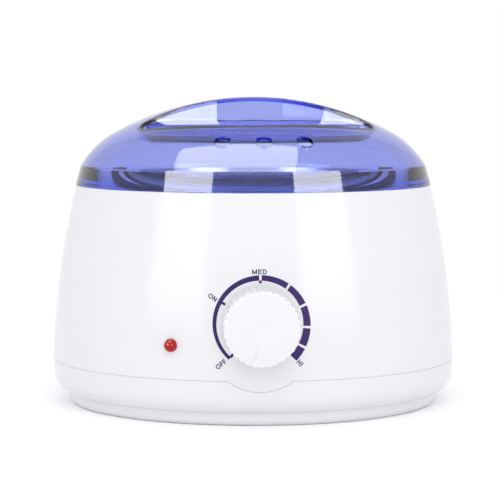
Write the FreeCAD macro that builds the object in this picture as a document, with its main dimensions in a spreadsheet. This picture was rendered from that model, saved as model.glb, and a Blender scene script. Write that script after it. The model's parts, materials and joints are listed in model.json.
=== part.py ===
"""Pot-type wax heater: a moulded body with a fixed heating well, a lift-out pot and a see-through lid.

Millimetres, +Z up. The origin is on the body's axis, in the plane that the foot ring rests on.
The dial faces -Y. Every size is a cell of the sheet "Sizes"; what follows from several cells is kept
in the variable set "Worked"; sketches, features and placements are bound to both by expressions.
"""
import FreeCAD, Part
import Sketcher
import math
import operator
import os

os.makedirs("parts", exist_ok=True)
doc = FreeCAD.newDocument("WaxHeater")

# ---------------------------------------------------------------- driving sizes

SIZES = {
    "body": {
        "rim_room": 19.9,               # from the pot's side out to the edge of the rim under the lid
        "rim_drop": 6.15,               # the rim lies lower than the pot's rim
        "belt_flare": 10.8,             # how far the side swells out from the rim down to the seam
        "seam_height": 20.3,            # lower edge of the housing
        "belly_rise": 10.7,             # from the seam up to where the two side curves meet
        "belly_draw": 0.35,             # how far the side has drawn in there
        "housing_wall": 2.5,
        "rim_land": 3.0,                # width of the rim
        "deck_sink": 4.05,              # deck round the pot, below the rim
        "deck_thickness": 3.5,
        "ledge_width": 4.5,             # ledge in the housing that the deck ring rests on
        "ledge_thickness": 2.0,
        "seam_gap": 0.12,
        "lug_half_width": 13.9,         # round lug under the dial, at the seam
        "lug_depth": 4.65,
    },
    "base": {
        "side_draw": 0.4,               # base side drawn in from the seam to its lower corner
        "corner_drop": 6.3,             # from the seam down to that corner
        "corner_arc": 8.6,
        "foot_draw": 6.9,               # foot ring drawn in from the base side
        "foot_width": 14.9,
        "foot_edge_arc": 3.0,
        "foot_rise": 3.0,               # height of the sunk underside inside the foot ring
        "base_wall": 2.5,
        "lip_rise": 4.0,                # register lip that stands inside the housing
        "lip_wall": 1.5,
        "air_slot_count": 12,
        "air_slot_width": 3.0,
        "air_slot_start": 38.0,
        "air_slot_end": 56.0,
    },
    "posts": {
        "post_inset": 16.2,             # screw posts' axes, in from the seam's radius
        "post_first_angle": 45.0,
        "deck_post_radius": 4.5,
        "base_post_radius": 6.5,
        "post_joint_rise": 5.7,         # where base and housing posts meet, above the seam
        "post_gap": 0.3,
        "counterbore_radius": 4.6,
        "screw_seat_drop": 12.0,        # seat of the screw's head, below that joint
        "screw_radius": 1.5,
        "screw_head_radius": 3.3,
        "screw_head_height": 2.4,
        "screw_bite": 14.0,             # thread length inside the housing post
        "screw_clearance": 0.3,
        "pilot_clearance": 0.05,
        "pad_thickness": 3.0,
        "pad_clearance": 0.1,
    },
    "lid": {
        "lid_gap": 0.3,                 # between the lid's edge and the rim
        "lid_overhang": 0.2,
        "band_height": 8.75,            # band between the lid's edge and the crease under the dome
        "band_draw": 2.5,               # how far the band draws in over its height
        "shoulder_width": 16.1,         # tighter curve between the crease and the crown
        "shoulder_rise": 15.29,
        "crown_rise": 15.76,            # flat curve from the shoulder up to the top
        "lid_wall": 2.0,
        "skirt_clearance": 0.5,
        "skirt_drop": 3.8,
        "skirt_wall": 1.8,
        "fin_thickness": 9.0,           # at the waist between the scoops
        "fin_side_arc": 95.0,          # hollow curve of the fin's sides, seen from above
        "scoop_end_inset": 5.5,         # ends of the scoop, in from where the shoulder begins
        "scoop_front_inset": 10.0,      # its round side likewise
        "scoop_depth": 17.95,           # floor of the scoop below the top
        "scoop_foot_arc": 8.0,
        "scoop_corner_arc": 9.0,
        "scoop_lip_arc": 0.8,           # rounded edge where the scoops meet the dome
        "vent_radius": 3.65,
        "vent_offset": 4.3,             # vents' circle, out from where the shoulder begins
        "vent_count": 3,
        "vent_spacing": 15.4,
        "vent_lean": 38.0,              # tilt of the vent holes from the vertical
        "lid_turn": 2.05,
    },
    "pot": {
        "pot_radius": 61.5,             # outside, under the rim
        "pot_draw": 2.0,                # how much narrower the foot is than the collar
        "pot_wall": 1.0,
        "pot_floor": 1.2,
        "pot_depth": 65.5,
        "pot_corner_arc": 8.0,
        "pot_bead_arc": 1.2,            # rolled rim
        "ear_width": 14.0,
        "ear_height": 9.8,
        "ear_inner_wall": 1.6,
        "ear_outer_wall": 1.3,
        "ear_cap": 1.6,
        "ear_clearance": 0.2,
        "pivot_drop": 4.0,              # bail pivot below the pot's rim
        "pin_radius": 1.8,
        "pin_head_radius": 3.0,
        "pin_head_height": 1.0,
        "pin_fit": 0.05,
        "bail_gap": 0.3,
        "bail_width": 3.0,
        "bail_height": 2.6,
        "bail_drop": 4.5,               # middle of the hoop below the pivot
        "bail_arm": 6.0,
        "bail_edge_arc": 0.8,
        "bail_eye_radius": 4.0,
    },
    "well": {
        "pot_base_height": 40.0,
        "seat_gap": 0.3,
        "well_clearance": 1.0,
        "well_wall": 1.0,
        "well_floor": 1.2,
        "well_corner_arc": 7.0,
        "flange_width": 7.0,
        "gasket_thickness": 1.0,
        "well_screw_offset": 3.8,       # screws' axes, out from the well's outside
        "well_screw_radius": 1.2,
        "well_screw_head_radius": 2.4,
        "well_screw_head_height": 1.6,
        "well_screw_bite": 2.5,
        "heater_radius": 45.0,
        "heater_thickness": 3.0,
        "clamp_overlap": 3.0,           # clamp plate's edge beyond the heater
        "clamp_thickness": 1.5,
        "clamp_rib_inset": 5.0,         # pressed stiffening ring, in from the heater's edge
        "clamp_rib_width": 4.0,
        "clamp_rib_height": 2.0,
        "stud_radius": 2.5,
        "stud_length": 11.0,
        "nut_flats": 8.0,
        "nut_height": 3.6,
        "nut_clearance": 0.05,
    },
    "dial": {
        "dial_height": 44.3,
        "shaft_radius": 3.0,
        "shaft_fit": 0.05,
        "shaft_tail": 0.5,              # the shaft's inner end, behind the bush
        "shaft_flat_length": 10.0,
        "shaft_flat_depth": 1.4,
        "bush_radius": 4.0,
        "bush_length": 9.5,
        "bush_root": 2.0,               # length staked into the thermostat's block
        "bush_nut_flats": 11.0,
        "bush_nut_height": 2.5,
        "bracket_setback": 10.56,       # front face of the bracket, behind the housing's outside
        "bracket_sheet": 1.2,
        "bracket_width": 26.4,
        "bracket_below": 10.3,          # bracket's ends from the dial's axis
        "bracket_above": 15.7,
        "bracket_foot_width": 6.0,
        "bracket_foot_height": 12.0,
        "block_width": 18.0,
        "block_depth": 9.5,
        "block_height": 21.0,
        "blade_width": 6.3,
        "blade_sheet": 0.8,
        "blade_length": 8.0,
        "shaft_hole_clearance": 0.8,
        "knob_radius": 15.9,
        "knob_back_gap": 0.55,
        "knob_depth": 16.0,
        "knob_wall": 2.0,
        "knob_edge_arc": 1.4,
        "knob_dome": 0.8,
        "dimple_radius": 4.5,
        "dimple_depth": 0.6,
        "lobe_count": 32,               # rounded ribs round the knob's grip
        "lobe_arc": 2.5,
        "lobe_inset": 0.1,              # ribs inside the turned blank they are cut from
        "hub_radius": 5.5,
        "hub_wall_gap": 1.5,            # the hub's end is set back from the skirt's edge
        "pointer_angle": -106.0,        # from the right-hand side, anticlockwise, at rest
        "pointer_start": 6.0,
        "pointer_end": 13.2,
        "pointer_width": 0.8,
        "pointer_rise": 0.5,
        "clip_wire": 0.6,
        "clip_width": 3.0,
        "clip_slit": 3.0,
    },
    "lamp": {
        "lamp_height": 34.9,
        "lamp_angle": -24.4,            # from the dial, seen from above, anticlockwise
        "lens_radius": 2.75,
        "lens_flange_radius": 3.1,
        "lens_flange": 0.5,
        "lens_rise": 2.4,
        "lens_stem_radius": 2.3,
        "lens_stem_length": 8.0,
        "lens_bore": 1.7,
        "lens_hole_clearance": 0.1,
        "lens_stand_off": 0.3,
        "lamp_clip_radius": 4.2,
        "lamp_clip_sheet": 0.8,
        "lamp_clip_gap": 0.6,
        "bulb_radius": 1.5,
        "bulb_length": 7.0,
    },
    "power": {
        "gland_height": 32.0,
        "gland_bore": 3.3,
        "gland_stem_radius": 5.2,
        "gland_flange_radius": 7.2,
        "gland_flange": 2.0,
        "gland_inner_flange": 1.5,
        "gland_inner_radius": 6.2,
        "gland_inner_gap": 0.9,
        "gland_hole_clearance": 0.1,
        "gland_stand_off": 0.4,
        "fuse_radius": 2.0,
        "fuse_length": 14.0,
        "fuse_lead_radius": 0.5,
        "fuse_lead": 6.0,
        "fuse_offset": 22.0,
        "saddle_sheet": 0.8,
        "saddle_width": 6.0,
        "saddle_foot": 5.0,
        "slip_clearance": 0.1,          # where one fixed piece slips over or into another
        "terminal_width": 30.0,
        "terminal_depth": 15.0,
        "terminal_tall": 12.0,
        "terminal_offset": 14.0,
        "terminal_count": 3,
        "terminal_pitch": 9.0,
        "terminal_bore": 1.7,
        "terminal_screw_radius": 1.5,
        "terminal_screw_length": 4.0,
    },
}


class Size:
    """A number worked out from the cells, with the expression text that keeps a property bound to them."""

    def __init__(self, number, text):
        self.number = float(number)
        self.text = text

    def __add__(self, other):
        return join(self, "+", other)

    def __radd__(self, other):
        return join(other, "+", self)

    def __sub__(self, other):
        return join(self, "-", other)

    def __rsub__(self, other):
        return join(other, "-", self)

    def __mul__(self, other):
        return join(self, "*", other)

    def __rmul__(self, other):
        return join(other, "*", self)

    def __truediv__(self, other):
        return join(self, "/", other)

    def __rtruediv__(self, other):
        return join(other, "/", self)

    def __neg__(self):
        return join(0, "-", self)


SIGNS = {"+": operator.add, "-": operator.sub, "*": operator.mul, "/": operator.truediv}


def as_size(value):
    """Return value as a Size; a bare number becomes a constant."""
    return value if isinstance(value, Size) else Size(value, repr(value))


def join(left, sign, right):
    """Join two sizes with an arithmetic sign."""
    left, right = as_size(left), as_size(right)
    return Size(SIGNS[sign](left.number, right.number), f"({left.text} {sign} {right.text})")


def root(size):
    """Square root of a size."""
    return Size(math.sqrt(size.number), f"sqrt({size.text})")


def sine(angle):
    """Sine of an angle in degrees."""
    angle = as_size(angle)
    return Size(math.sin(math.radians(angle.number)), f"sin({angle.text})")


def cosine(angle):
    """Cosine of an angle in degrees."""
    angle = as_size(angle)
    return Size(math.cos(math.radians(angle.number)), f"cos({angle.text})")


class Cells:
    """The sheet's cells by their alias, each as a Size."""

    def __init__(self, sheet_name):
        self.sheet = doc.addObject("Spreadsheet::Sheet", sheet_name)
        row = 1
        for section, cells in SIZES.items():
            self.sheet.set(f"A{row}", section)
            row += 1
            for alias, number in cells.items():
                self.sheet.set(f"A{row}", alias)
                self.sheet.set(f"B{row}", str(number))
                self.sheet.setAlias(f"B{row}", alias)
                setattr(self, alias, Size(number, f"{sheet_name}.{alias}"))
                row += 1


cell = Cells("Sizes")
worked = doc.addObject("App::VarSet", "Worked")
doc.recompute()


def keep(name, size):
    """Hold a worked-out size in the variable set under a name of its own."""
    worked.addProperty("App::PropertyFloat", name)
    worked.setExpression(name, size.text)
    return Size(size.number, f"Worked.{name}")


# ---------------------------------------------------------------- sketches and features


def bind(thing, **sizes):
    """Bind properties of an object to sizes."""
    for name, size in sizes.items():
        thing.setExpression(name, as_size(size).text)


def place(thing, x=0, y=0, z=0, yaw=0, pitch=0, roll=0, outward=False):
    """Bind an object's placement; the angles are yaw about Z, pitch about Y and roll about X.

    Outward lays the object's own Z axis level, pointing out to the dial's side at a yaw of 0.
    """
    if outward:
        roll = 90
    x, y, z, yaw, pitch, roll = (as_size(v).text for v in (x, y, z, yaw, pitch, roll))
    thing.setExpression(
        "Placement", f"placement(vector({x}; {y}; {z}); rotation({yaw}; {pitch}; {roll}))"
    )
    return thing


def new_body(label):
    """Start a PartDesign body."""
    body = doc.addObject("PartDesign::Body", label)
    body.Label = label
    return body


def new_sketch(body, role, lift=0):
    """Start a sketch on one of the body's own origin planes, lifted along the plane's normal."""
    sketch = body.newObject("Sketcher::SketchObject", f"{body.Label}_outline")
    plane = next(o for o in body.Origin.OriginFeatures if o.Role == role)
    sketch.AttachmentSupport = [(plane, "")]
    sketch.MapMode = "FlatFace"
    sketch.setExpression("AttachmentOffset.Base.z", as_size(lift).text)
    return sketch


def pin_point(sketch, curve, end, x, y):
    """Bind one end (or centre) of a sketch curve to its distances from the sketch's origin."""
    for kind, size in (("DistanceX", x), ("DistanceY", y)):
        index = sketch.addConstraint(Sketcher.Constraint(kind, -1, 1, curve, end, size.number))
        sketch.setExpression(f"Constraints[{index}]", size.text)


class Outline:
    """A closed outline of straight lines and arcs, every corner and radius bound to the cells."""

    def __init__(self, x, y):
        self.corners = [(as_size(x), as_size(y))]
        self.arcs = []
        self.last_arc = None

    def line(self, x, y):
        """Go straight to a corner."""
        self.corners.append((as_size(x), as_size(y)))
        self.arcs.append(None)
        return self

    def arc(self, x, y, radius, turn):
        """Go to a corner along an arc that turns anticlockwise (+1) or clockwise (-1)."""
        self.corners.append((as_size(x), as_size(y)))
        self.arcs.append((as_size(radius), turn))
        return self

    def arc_home(self, radius, turn):
        """Close the outline with an arc in place of a line."""
        self.last_arc = (as_size(radius), turn)
        return self

    def curve(self, number):
        """Return the drawn curve from one corner to the next and which of its ends comes first."""
        (x0, y0), (x1, y1) = (
            [size.number for size in self.corners[(number + step) % len(self.corners)]]
            for step in (0, 1)
        )
        arc = self.arcs[number]
        if arc is None:
            return Part.LineSegment(FreeCAD.Vector(x0, y0, 0), FreeCAD.Vector(x1, y1, 0)), (1, 2)
        radius, turn = arc[0].number, arc[1]
        half = math.hypot(x1 - x0, y1 - y0) / 2
        reach = turn * math.sqrt(max(radius * radius - half * half, 0)) / (2 * half)
        centre = FreeCAD.Vector(
            (x0 + x1) / 2 - (y1 - y0) * reach, (y0 + y1) / 2 + (x1 - x0) * reach, 0
        )
        angles = [math.atan2(y0 - centre.y, x0 - centre.x), math.atan2(y1 - centre.y, x1 - centre.x)]
        circle = Part.Circle(centre, FreeCAD.Vector(0, 0, 1), radius)
        if turn < 0:
            return Part.ArcOfCircle(circle, angles[1], angles[0]), (2, 1)
        return Part.ArcOfCircle(circle, angles[0], angles[1]), (1, 2)

    def draw(self, body, role, lift=0):
        """Draw the outline as a constrained sketch on the body's origin plane."""
        sketch = new_sketch(body, role, lift)
        self.add_to(sketch)
        return sketch

    def add_to(self, sketch):
        """Add the closed outline to a sketch."""
        self.arcs.append(self.last_arc)
        ends = []
        for number in range(len(self.corners)):
            curve, order = self.curve(number)
            ends.append((sketch.addGeometry(curve), order))
        for number, (curve, order) in enumerate(ends):
            last, last_order = ends[number - 1]
            sketch.addConstraint(
                Sketcher.Constraint("Coincident", last, last_order[1], curve, order[0])
            )
            pin_point(sketch, curve, order[0], *self.corners[number])
            if self.arcs[number]:
                radius = self.arcs[number][0]
                index = sketch.addConstraint(Sketcher.Constraint("Radius", curve, radius.number))
                sketch.setExpression(f"Constraints[{index}]", radius.text)


def circle_in(sketch, x, y, radius):
    """Add a circle, bound to the cells, to a sketch."""
    x, y, radius = as_size(x), as_size(y), as_size(radius)
    circle = Part.Circle(
        FreeCAD.Vector(x.number, y.number, 0), FreeCAD.Vector(0, 0, 1), radius.number
    )
    curve = sketch.addGeometry(circle)
    pin_point(sketch, curve, 3, x, y)
    index = sketch.addConstraint(Sketcher.Constraint("Radius", curve, radius.number))
    sketch.setExpression(f"Constraints[{index}]", radius.text)


def feature(body, kind, sketch):
    """Add a sketched feature to a body and make it the tip."""
    made = body.newObject(f"PartDesign::{kind}", f"{body.Label}_{kind.lower()}")
    made.Profile = sketch
    body.Tip = made
    return made


def turned(label, outline):
    """A body turned about its own Z axis from an outline of radius and height."""
    body = new_body(label)
    sketch = outline.draw(body, "XZ_Plane")
    made = feature(body, "Revolution", sketch)
    made.ReferenceAxis = (sketch, ["V_Axis"])
    made.Angle = 360
    return body


def padded(label, outline, height, lift=0, role="XY_Plane"):
    """A body padded from an outline along the normal of its plane."""
    body = new_body(label)
    made = feature(body, "Pad", outline.draw(body, role, lift))
    bind(made, Length=height)
    return body


def pocket_up(body, outline, depth, lift=0):
    """Cut an outline out of the body, upwards from the height of its sketch."""
    made = feature(body, "Pocket", outline.draw(body, "XY_Plane", lift))
    made.Reversed = True
    bind(made, Length=depth)
    return made


def round_body(body, made, count):
    """Repeat a feature evenly about the body's own Z axis."""
    pattern = body.newObject("PartDesign::PolarPattern", f"{body.Label}_ring")
    pattern.Originals = [made]
    pattern.Axis = (made.Profile[0], ["N_Axis"])
    pattern.Angle = 360
    bind(pattern, Occurrences=count)
    body.Tip = pattern
    return pattern


def round_edges(body, radius, wanted):
    """Round the tip's edges that the test picks."""
    doc.recompute()
    tip = body.Tip
    names = [f"Edge{n}" for n, edge in enumerate(tip.Shape.Edges, 1) if wanted(edge)]
    fillet = body.newObject("PartDesign::Fillet", f"{body.Label}_rounding")
    fillet.Base = (tip, names)
    bind(fillet, Radius=radius)
    body.Tip = fillet
    return body


def rounded(base, radius, wanted):
    """A finished solid with the edges that the test picks rounded."""
    doc.recompute()
    made = doc.addObject("Part::Fillet", f"{base.Label}_rounded")
    made.Base = base
    made.Edges = [
        (n, radius.number, radius.number) for n, edge in enumerate(base.Shape.Edges, 1) if wanted(edge)
    ]
    return made


def rod(name, radius, length, **where):
    """A cylinder along its own Z axis."""
    made = doc.addObject("Part::Cylinder", name)
    bind(made, Radius=radius, Height=length)
    return place(made, **where)


def block(name, width, depth, height, x=0, y=0, z=0):
    """A box centred on x, from y backwards by depth, from z upwards by height."""
    made = doc.addObject("Part::Box", name)
    bind(made, Length=width, Width=depth, Height=height)
    return place(made, x=x - as_size(width) / 2, y=y, z=z)


def tube(name, outer, inner, length, low=0):
    """A plain tube along its own Z axis, standing on a height."""
    return cut(name, rod(f"{name}_outside", outer, length, z=low), rod(f"{name}_bore", inner, length, z=low))


def hexagon(name, flats, height, bore):
    """A hexagon nut along its own Z axis, with a plain bore."""
    prism = doc.addObject("Part::Prism", f"{name}_prism")
    bind(prism, Circumradius=flats / (2 * cosine(30)), Height=height)
    return cut(name, prism, rod(f"{name}_bore", bore, height))


def cut(label, base, *tools):
    """Take tools from a base."""
    made = doc.addObject("Part::Cut", label)
    made.Label = label
    made.Base = base
    made.Tool = tools[0] if len(tools) == 1 else joined(f"{label}_tools", *tools)
    return made


def joined(label, *pieces):
    """Fuse pieces into one."""
    made = doc.addObject("Part::MultiFuse", label)
    made.Label = label
    made.Shapes = list(pieces)
    return made


def common(label, first, second):
    """What two pieces share."""
    made = doc.addObject("Part::MultiCommon", label)
    made.Label = label
    made.Shapes = [first, second]
    return made


def group(label, pieces):
    """Like pieces kept as separate solids in one node."""
    made = doc.addObject("Part::Compound", label)
    made.Label = label
    made.Links = list(pieces)
    return made


def round_the_axis(count, first_angle, circle):
    """Places at even angles round the body's axis: (number, x, y)."""
    places = []
    for number in range(count):
        angle = first_angle + 360 * number / count
        places.append((number, circle * cosine(angle), circle * sine(angle)))
    return places


# ---------------------------------------------------------------- sizes that follow from the cells

# The pot comes first: the rim, the side and the base follow from its radius and its height.
pot_rim_height = keep("pot_rim_height", cell.pot_base_height + cell.pot_depth)
pot_foot_radius = keep("pot_foot_radius", cell.pot_radius - cell.pot_draw)
rim_radius = keep("rim_radius", cell.pot_radius + cell.rim_room)
rim_height = keep("rim_height", pot_rim_height - cell.rim_drop)
deck_height = keep("deck_height", rim_height - cell.deck_sink)
belt_radius = keep("belt_radius", rim_radius + cell.belt_flare)
belly_radius = keep("belly_radius", belt_radius - cell.belly_draw)
belly_height = keep("belly_height", cell.seam_height + cell.belly_rise)
side_radius = keep("side_radius", belt_radius - cell.side_draw)
corner_height = keep("corner_height", cell.seam_height - cell.corner_drop)
foot_radius = keep("foot_radius", side_radius - cell.foot_draw)
foot_inner_radius = keep("foot_inner_radius", foot_radius - cell.foot_width)

# The side of the body is two tangent arcs: the lower one leaves the seam upright and passes the
# belly, the upper one carries on from there to the rim.
belly_in, belly_up = cell.belly_draw, cell.belly_rise
side_arc_low = keep("side_arc_low", (belly_in * belly_in + belly_up * belly_up) / (2 * belly_in))
side_slope_x = keep("side_slope_x", (belly_in - side_arc_low) / side_arc_low)
side_slope_z = keep("side_slope_z", (cell.seam_height - belly_height) / side_arc_low)
side_run_x = rim_radius - belly_radius
side_run_z = rim_height - belly_height
side_arc_high = keep(
    "side_arc_high",
    (side_run_x * side_run_x + side_run_z * side_run_z)
    / (2 * (side_slope_x * side_run_x + side_slope_z * side_run_z)),
)
side_centre_x = keep("side_centre_x", belly_radius + side_slope_x * side_arc_high)
side_centre_z = keep("side_centre_z", belly_height + side_slope_z * side_arc_high)


def side_radius_at(height, inset=0):
    """Radius of the housing's side at a height above the belly, inset by a wall."""
    up = height - side_centre_z
    arc = side_arc_high - inset
    return side_centre_x + root(arc * arc - up * up)


rim_inner = keep("rim_inner", rim_radius - cell.rim_land)
deck_underside = keep("deck_underside", deck_height - cell.deck_thickness)
well_radius = keep("well_radius", cell.pot_radius + cell.well_clearance)
well_outer = keep("well_outer", well_radius + cell.well_wall)
well_floor_top = keep("well_floor_top", cell.pot_base_height - cell.seat_gap)
well_floor_low = keep("well_floor_low", well_floor_top - cell.well_floor)
flange_top = keep("flange_top", deck_underside - cell.gasket_thickness)
flange_radius = keep("flange_radius", well_outer + cell.flange_width)
pivot_height = keep("pivot_height", pot_rim_height - cell.pivot_drop)
wall_at_dial = keep("wall_at_dial", side_radius_at(cell.dial_height))
wall_at_lamp = keep("wall_at_lamp", side_radius_at(cell.lamp_height))
wall_at_gland = keep("wall_at_gland", side_radius_at(cell.gland_height))
lug_arc = keep(
    "lug_arc",
    (cell.lug_half_width * cell.lug_half_width + cell.lug_depth * cell.lug_depth)
    / (2 * cell.lug_depth),
)
lug_height = keep("lug_height", cell.seam_height - cell.lug_depth + lug_arc)
knob_back = keep("knob_back", belt_radius + cell.knob_back_gap)
knob_front = keep("knob_front", knob_back + cell.knob_depth)
post_circle = keep("post_circle", belt_radius - cell.post_inset)
post_joint_height = keep("post_joint_height", cell.seam_height + cell.post_joint_rise)
screw_seat_height = keep("screw_seat_height", post_joint_height - cell.screw_seat_drop)
well_screw_circle = keep("well_screw_circle", well_outer + cell.well_screw_offset)

POSTS = round_the_axis(4, cell.post_first_angle, post_circle)
WELL_SCREWS = round_the_axis(4, cell.post_first_angle, well_screw_circle)


# ---------------------------------------------------------------- body


def make_upper_housing():
    """White moulded shell: curved side, rim, ledge for the deck ring and the round lug under the dial."""
    inset = cell.housing_wall
    ledge_inner = rim_inner - cell.ledge_width
    ledge_low = deck_underside - cell.ledge_thickness
    shell = turned(
        "housing_shell",
        Outline(belt_radius, cell.seam_height)
        .arc(belly_radius, belly_height, side_arc_low, 1)
        .arc(rim_radius, rim_height, side_arc_high, 1)
        .line(rim_inner, rim_height)
        .line(rim_inner, deck_underside)
        .line(ledge_inner, deck_underside)
        .line(ledge_inner, ledge_low)
        .line(side_radius_at(ledge_low, inset), ledge_low)
        .arc(
            belly_radius + side_slope_x * inset,
            belly_height + side_slope_z * inset,
            side_arc_high - inset,
            -1,
        )
        .arc(belt_radius - inset, cell.seam_height, side_arc_low - inset, -1),
    )
    notches = [
        rod(
            f"ledge_notch_{n}",
            cell.deck_post_radius + cell.post_gap,
            cell.ledge_thickness,
            x=x,
            y=y,
            z=ledge_low,
        )
        for n, x, y in POSTS
    ]
    lug = common("housing_lug", lug_skin(), lug_disc("lug_disc", 0))
    notch_low = cell.seam_height - cell.housing_wall
    notch_top = cell.gland_height + cell.gland_stem_radius + cell.gland_hole_clearance
    return cut(
        "upper_housing",
        joined("housing_solid", shell, lug),
        *notches,
        wall_hole(
            "dial_hole",
            cell.shaft_radius + cell.shaft_hole_clearance,
            wall_at_dial,
            0,
            cell.dial_height,
        ),
        wall_hole(
            "lamp_hole",
            cell.lens_stem_radius + cell.lens_hole_clearance,
            wall_at_lamp,
            cell.lamp_angle,
            cell.lamp_height,
        ),
        block(
            "gland_notch",
            2 * (cell.gland_stem_radius + cell.gland_hole_clearance),
            3 * cell.housing_wall,
            notch_top - notch_low,
            y=belt_radius - 2 * cell.housing_wall,
            z=notch_low,
        ),
    )


def make_deck_ring():
    """White ring let into the rim round the pot; its four posts take the base's screws."""
    ring = tube(
        "deck_plate", rim_inner - cell.slip_clearance, well_radius, cell.deck_thickness, low=deck_underside
    )
    post_low = post_joint_height + cell.post_gap
    posts = [
        rod(f"deck_post_{n}", cell.deck_post_radius, deck_underside - post_low, x=x, y=y, z=post_low)
        for n, x, y in POSTS
    ]
    pilots = [
        rod(
            f"post_pilot_{n}",
            cell.screw_radius + cell.pilot_clearance,
            cell.screw_bite + cell.post_gap,
            x=x,
            y=y,
            z=post_low,
        )
        for n, x, y in POSTS
    ]
    well_pilots = [
        rod(
            f"well_pilot_{n}",
            cell.well_screw_radius + cell.pilot_clearance,
            cell.well_screw_bite,
            x=x,
            y=y,
            z=deck_underside,
        )
        for n, x, y in WELL_SCREWS
    ]
    return cut("deck_ring", joined("deck_with_posts", ring, *posts), *pilots, *well_pilots)


def wall_hole(name, radius, wall, angle, height):
    """A level drill through the side wall, at an angle from the dial."""
    length = 3 * cell.housing_wall
    start = wall - 2 * cell.housing_wall
    x, y = start * sine(angle), -start * cosine(angle)
    return rod(name, radius, length, x=x, y=y, z=height, yaw=angle, outward=True)


def side_line(height):
    """Radius of the base's straight side between its corner and the seam."""
    share = (height - corner_height) / (cell.seam_height - corner_height)
    return side_radius + (belt_radius - side_radius) * share


def lug_skin():
    """The housing's wall carried on below the seam, from which the lug is cut."""
    low = cell.seam_height - cell.lug_depth - cell.seam_gap
    return turned(
        "lug_skin",
        Outline(side_line(low), low)
        .line(belt_radius, cell.seam_height)
        .line(belt_radius - cell.housing_wall, cell.seam_height)
        .line(side_line(low) - cell.housing_wall, low),
    )


def lug_disc(name, margin):
    """Level disc, wide of the lug by a margin, that cuts it out of the front wall."""
    length = 4 * cell.housing_wall
    front = belt_radius + cell.housing_wall
    return rod(name, lug_arc + margin, length, y=length - front, z=lug_height, outward=True)


def make_base_shell():
    """White base: side, foot ring, register lip, air slots and posts for the screws from below."""
    wall = cell.base_wall
    corner_low = corner_height - root(
        cell.corner_arc * cell.corner_arc
        - (foot_radius - side_radius + cell.corner_arc)
        * (foot_radius - side_radius + cell.corner_arc)
    )
    top = cell.seam_height - cell.seam_gap
    lip_outer = belt_radius - cell.housing_wall - cell.seam_gap
    lip_inner = lip_outer - cell.lip_wall
    shell = turned(
        "base_solid",
        Outline(0, cell.foot_rise)
        .line(foot_inner_radius, cell.foot_rise)
        .line(foot_inner_radius, 0)
        .line(foot_radius - cell.foot_edge_arc, 0)
        .arc(foot_radius, cell.foot_edge_arc, cell.foot_edge_arc, 1)
        .line(foot_radius, corner_low)
        .arc(side_radius, corner_height, cell.corner_arc, 1)
        .line(side_line(top), top)
        .line(lip_outer, top)
        .line(lip_outer, top + cell.lip_rise)
        .line(lip_inner, top + cell.lip_rise)
        .line(lip_inner, top - wall)
        .line(side_radius - wall, top - wall - cell.lip_wall)
        .line(side_radius - wall, corner_height)
        .arc(
            side_radius - cell.corner_arc,
            corner_height - cell.corner_arc + wall,
            cell.corner_arc - wall,
            -1,
        )
        .line(foot_radius - wall, corner_height - cell.corner_arc + wall)
        .line(foot_radius - wall, wall)
        .line(foot_inner_radius + wall, wall)
        .line(foot_inner_radius + wall, cell.foot_rise + wall)
        .line(0, cell.foot_rise + wall),
    )
    slot = pocket_up(shell, air_slot(), cell.foot_rise + 2 * wall)
    round_body(shell, slot, cell.air_slot_count)
    posts = [
        rod(f"base_post_{n}", cell.base_post_radius, post_joint_height, x=x, y=y)
        for n, x, y in POSTS
    ]
    bores = [
        rod(f"counterbore_{n}", cell.counterbore_radius, screw_seat_height, x=x, y=y)
        for n, x, y in POSTS
    ]
    holes = [
        rod(f"screw_hole_{n}", cell.screw_radius + cell.screw_clearance, post_joint_height, x=x, y=y)
        for n, x, y in POSTS
    ]
    return cut(
        "base_shell",
        joined("base_with_posts", shell, *posts),
        *bores,
        *holes,
        lug_disc("lug_notch", cell.seam_gap),
    )


def air_slot():
    """Outline of one round-ended slot in the base's floor."""
    half = cell.air_slot_width / 2
    return (
        Outline(cell.air_slot_start, -half)
        .line(cell.air_slot_end, -half)
        .arc(cell.air_slot_end + half, 0, half, 1)
        .arc(cell.air_slot_end, half, half, 1)
        .line(cell.air_slot_start, half)
        .arc(cell.air_slot_start - half, 0, half, 1)
        .arc_home(half, 1)
    )


def make_base_screws():
    """Four pan-head screws that join the base to the housing's posts."""
    screws = []
    for n, x, y in POSTS:
        head = rod(
            f"screw_head_{n}",
            cell.screw_head_radius,
            cell.screw_head_height,
            x=x,
            y=y,
            z=screw_seat_height - cell.screw_head_height,
        )
        length = post_joint_height + cell.screw_bite - screw_seat_height
        shank = rod(f"screw_shank_{n}", cell.screw_radius, length, x=x, y=y, z=screw_seat_height)
        screws.append(joined(f"base_screw_{n}", head, shank))
    return group("base_screws", screws)


def make_foot_pads():
    """Rubber pads pushed into the counterbores, flush with the foot ring."""
    return [
        rod(f"foot_pad_{n + 1}", cell.counterbore_radius - cell.pad_clearance, cell.pad_thickness, x=x, y=y)
        for n, x, y in POSTS
    ]


# ---------------------------------------------------------------- lid


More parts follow.
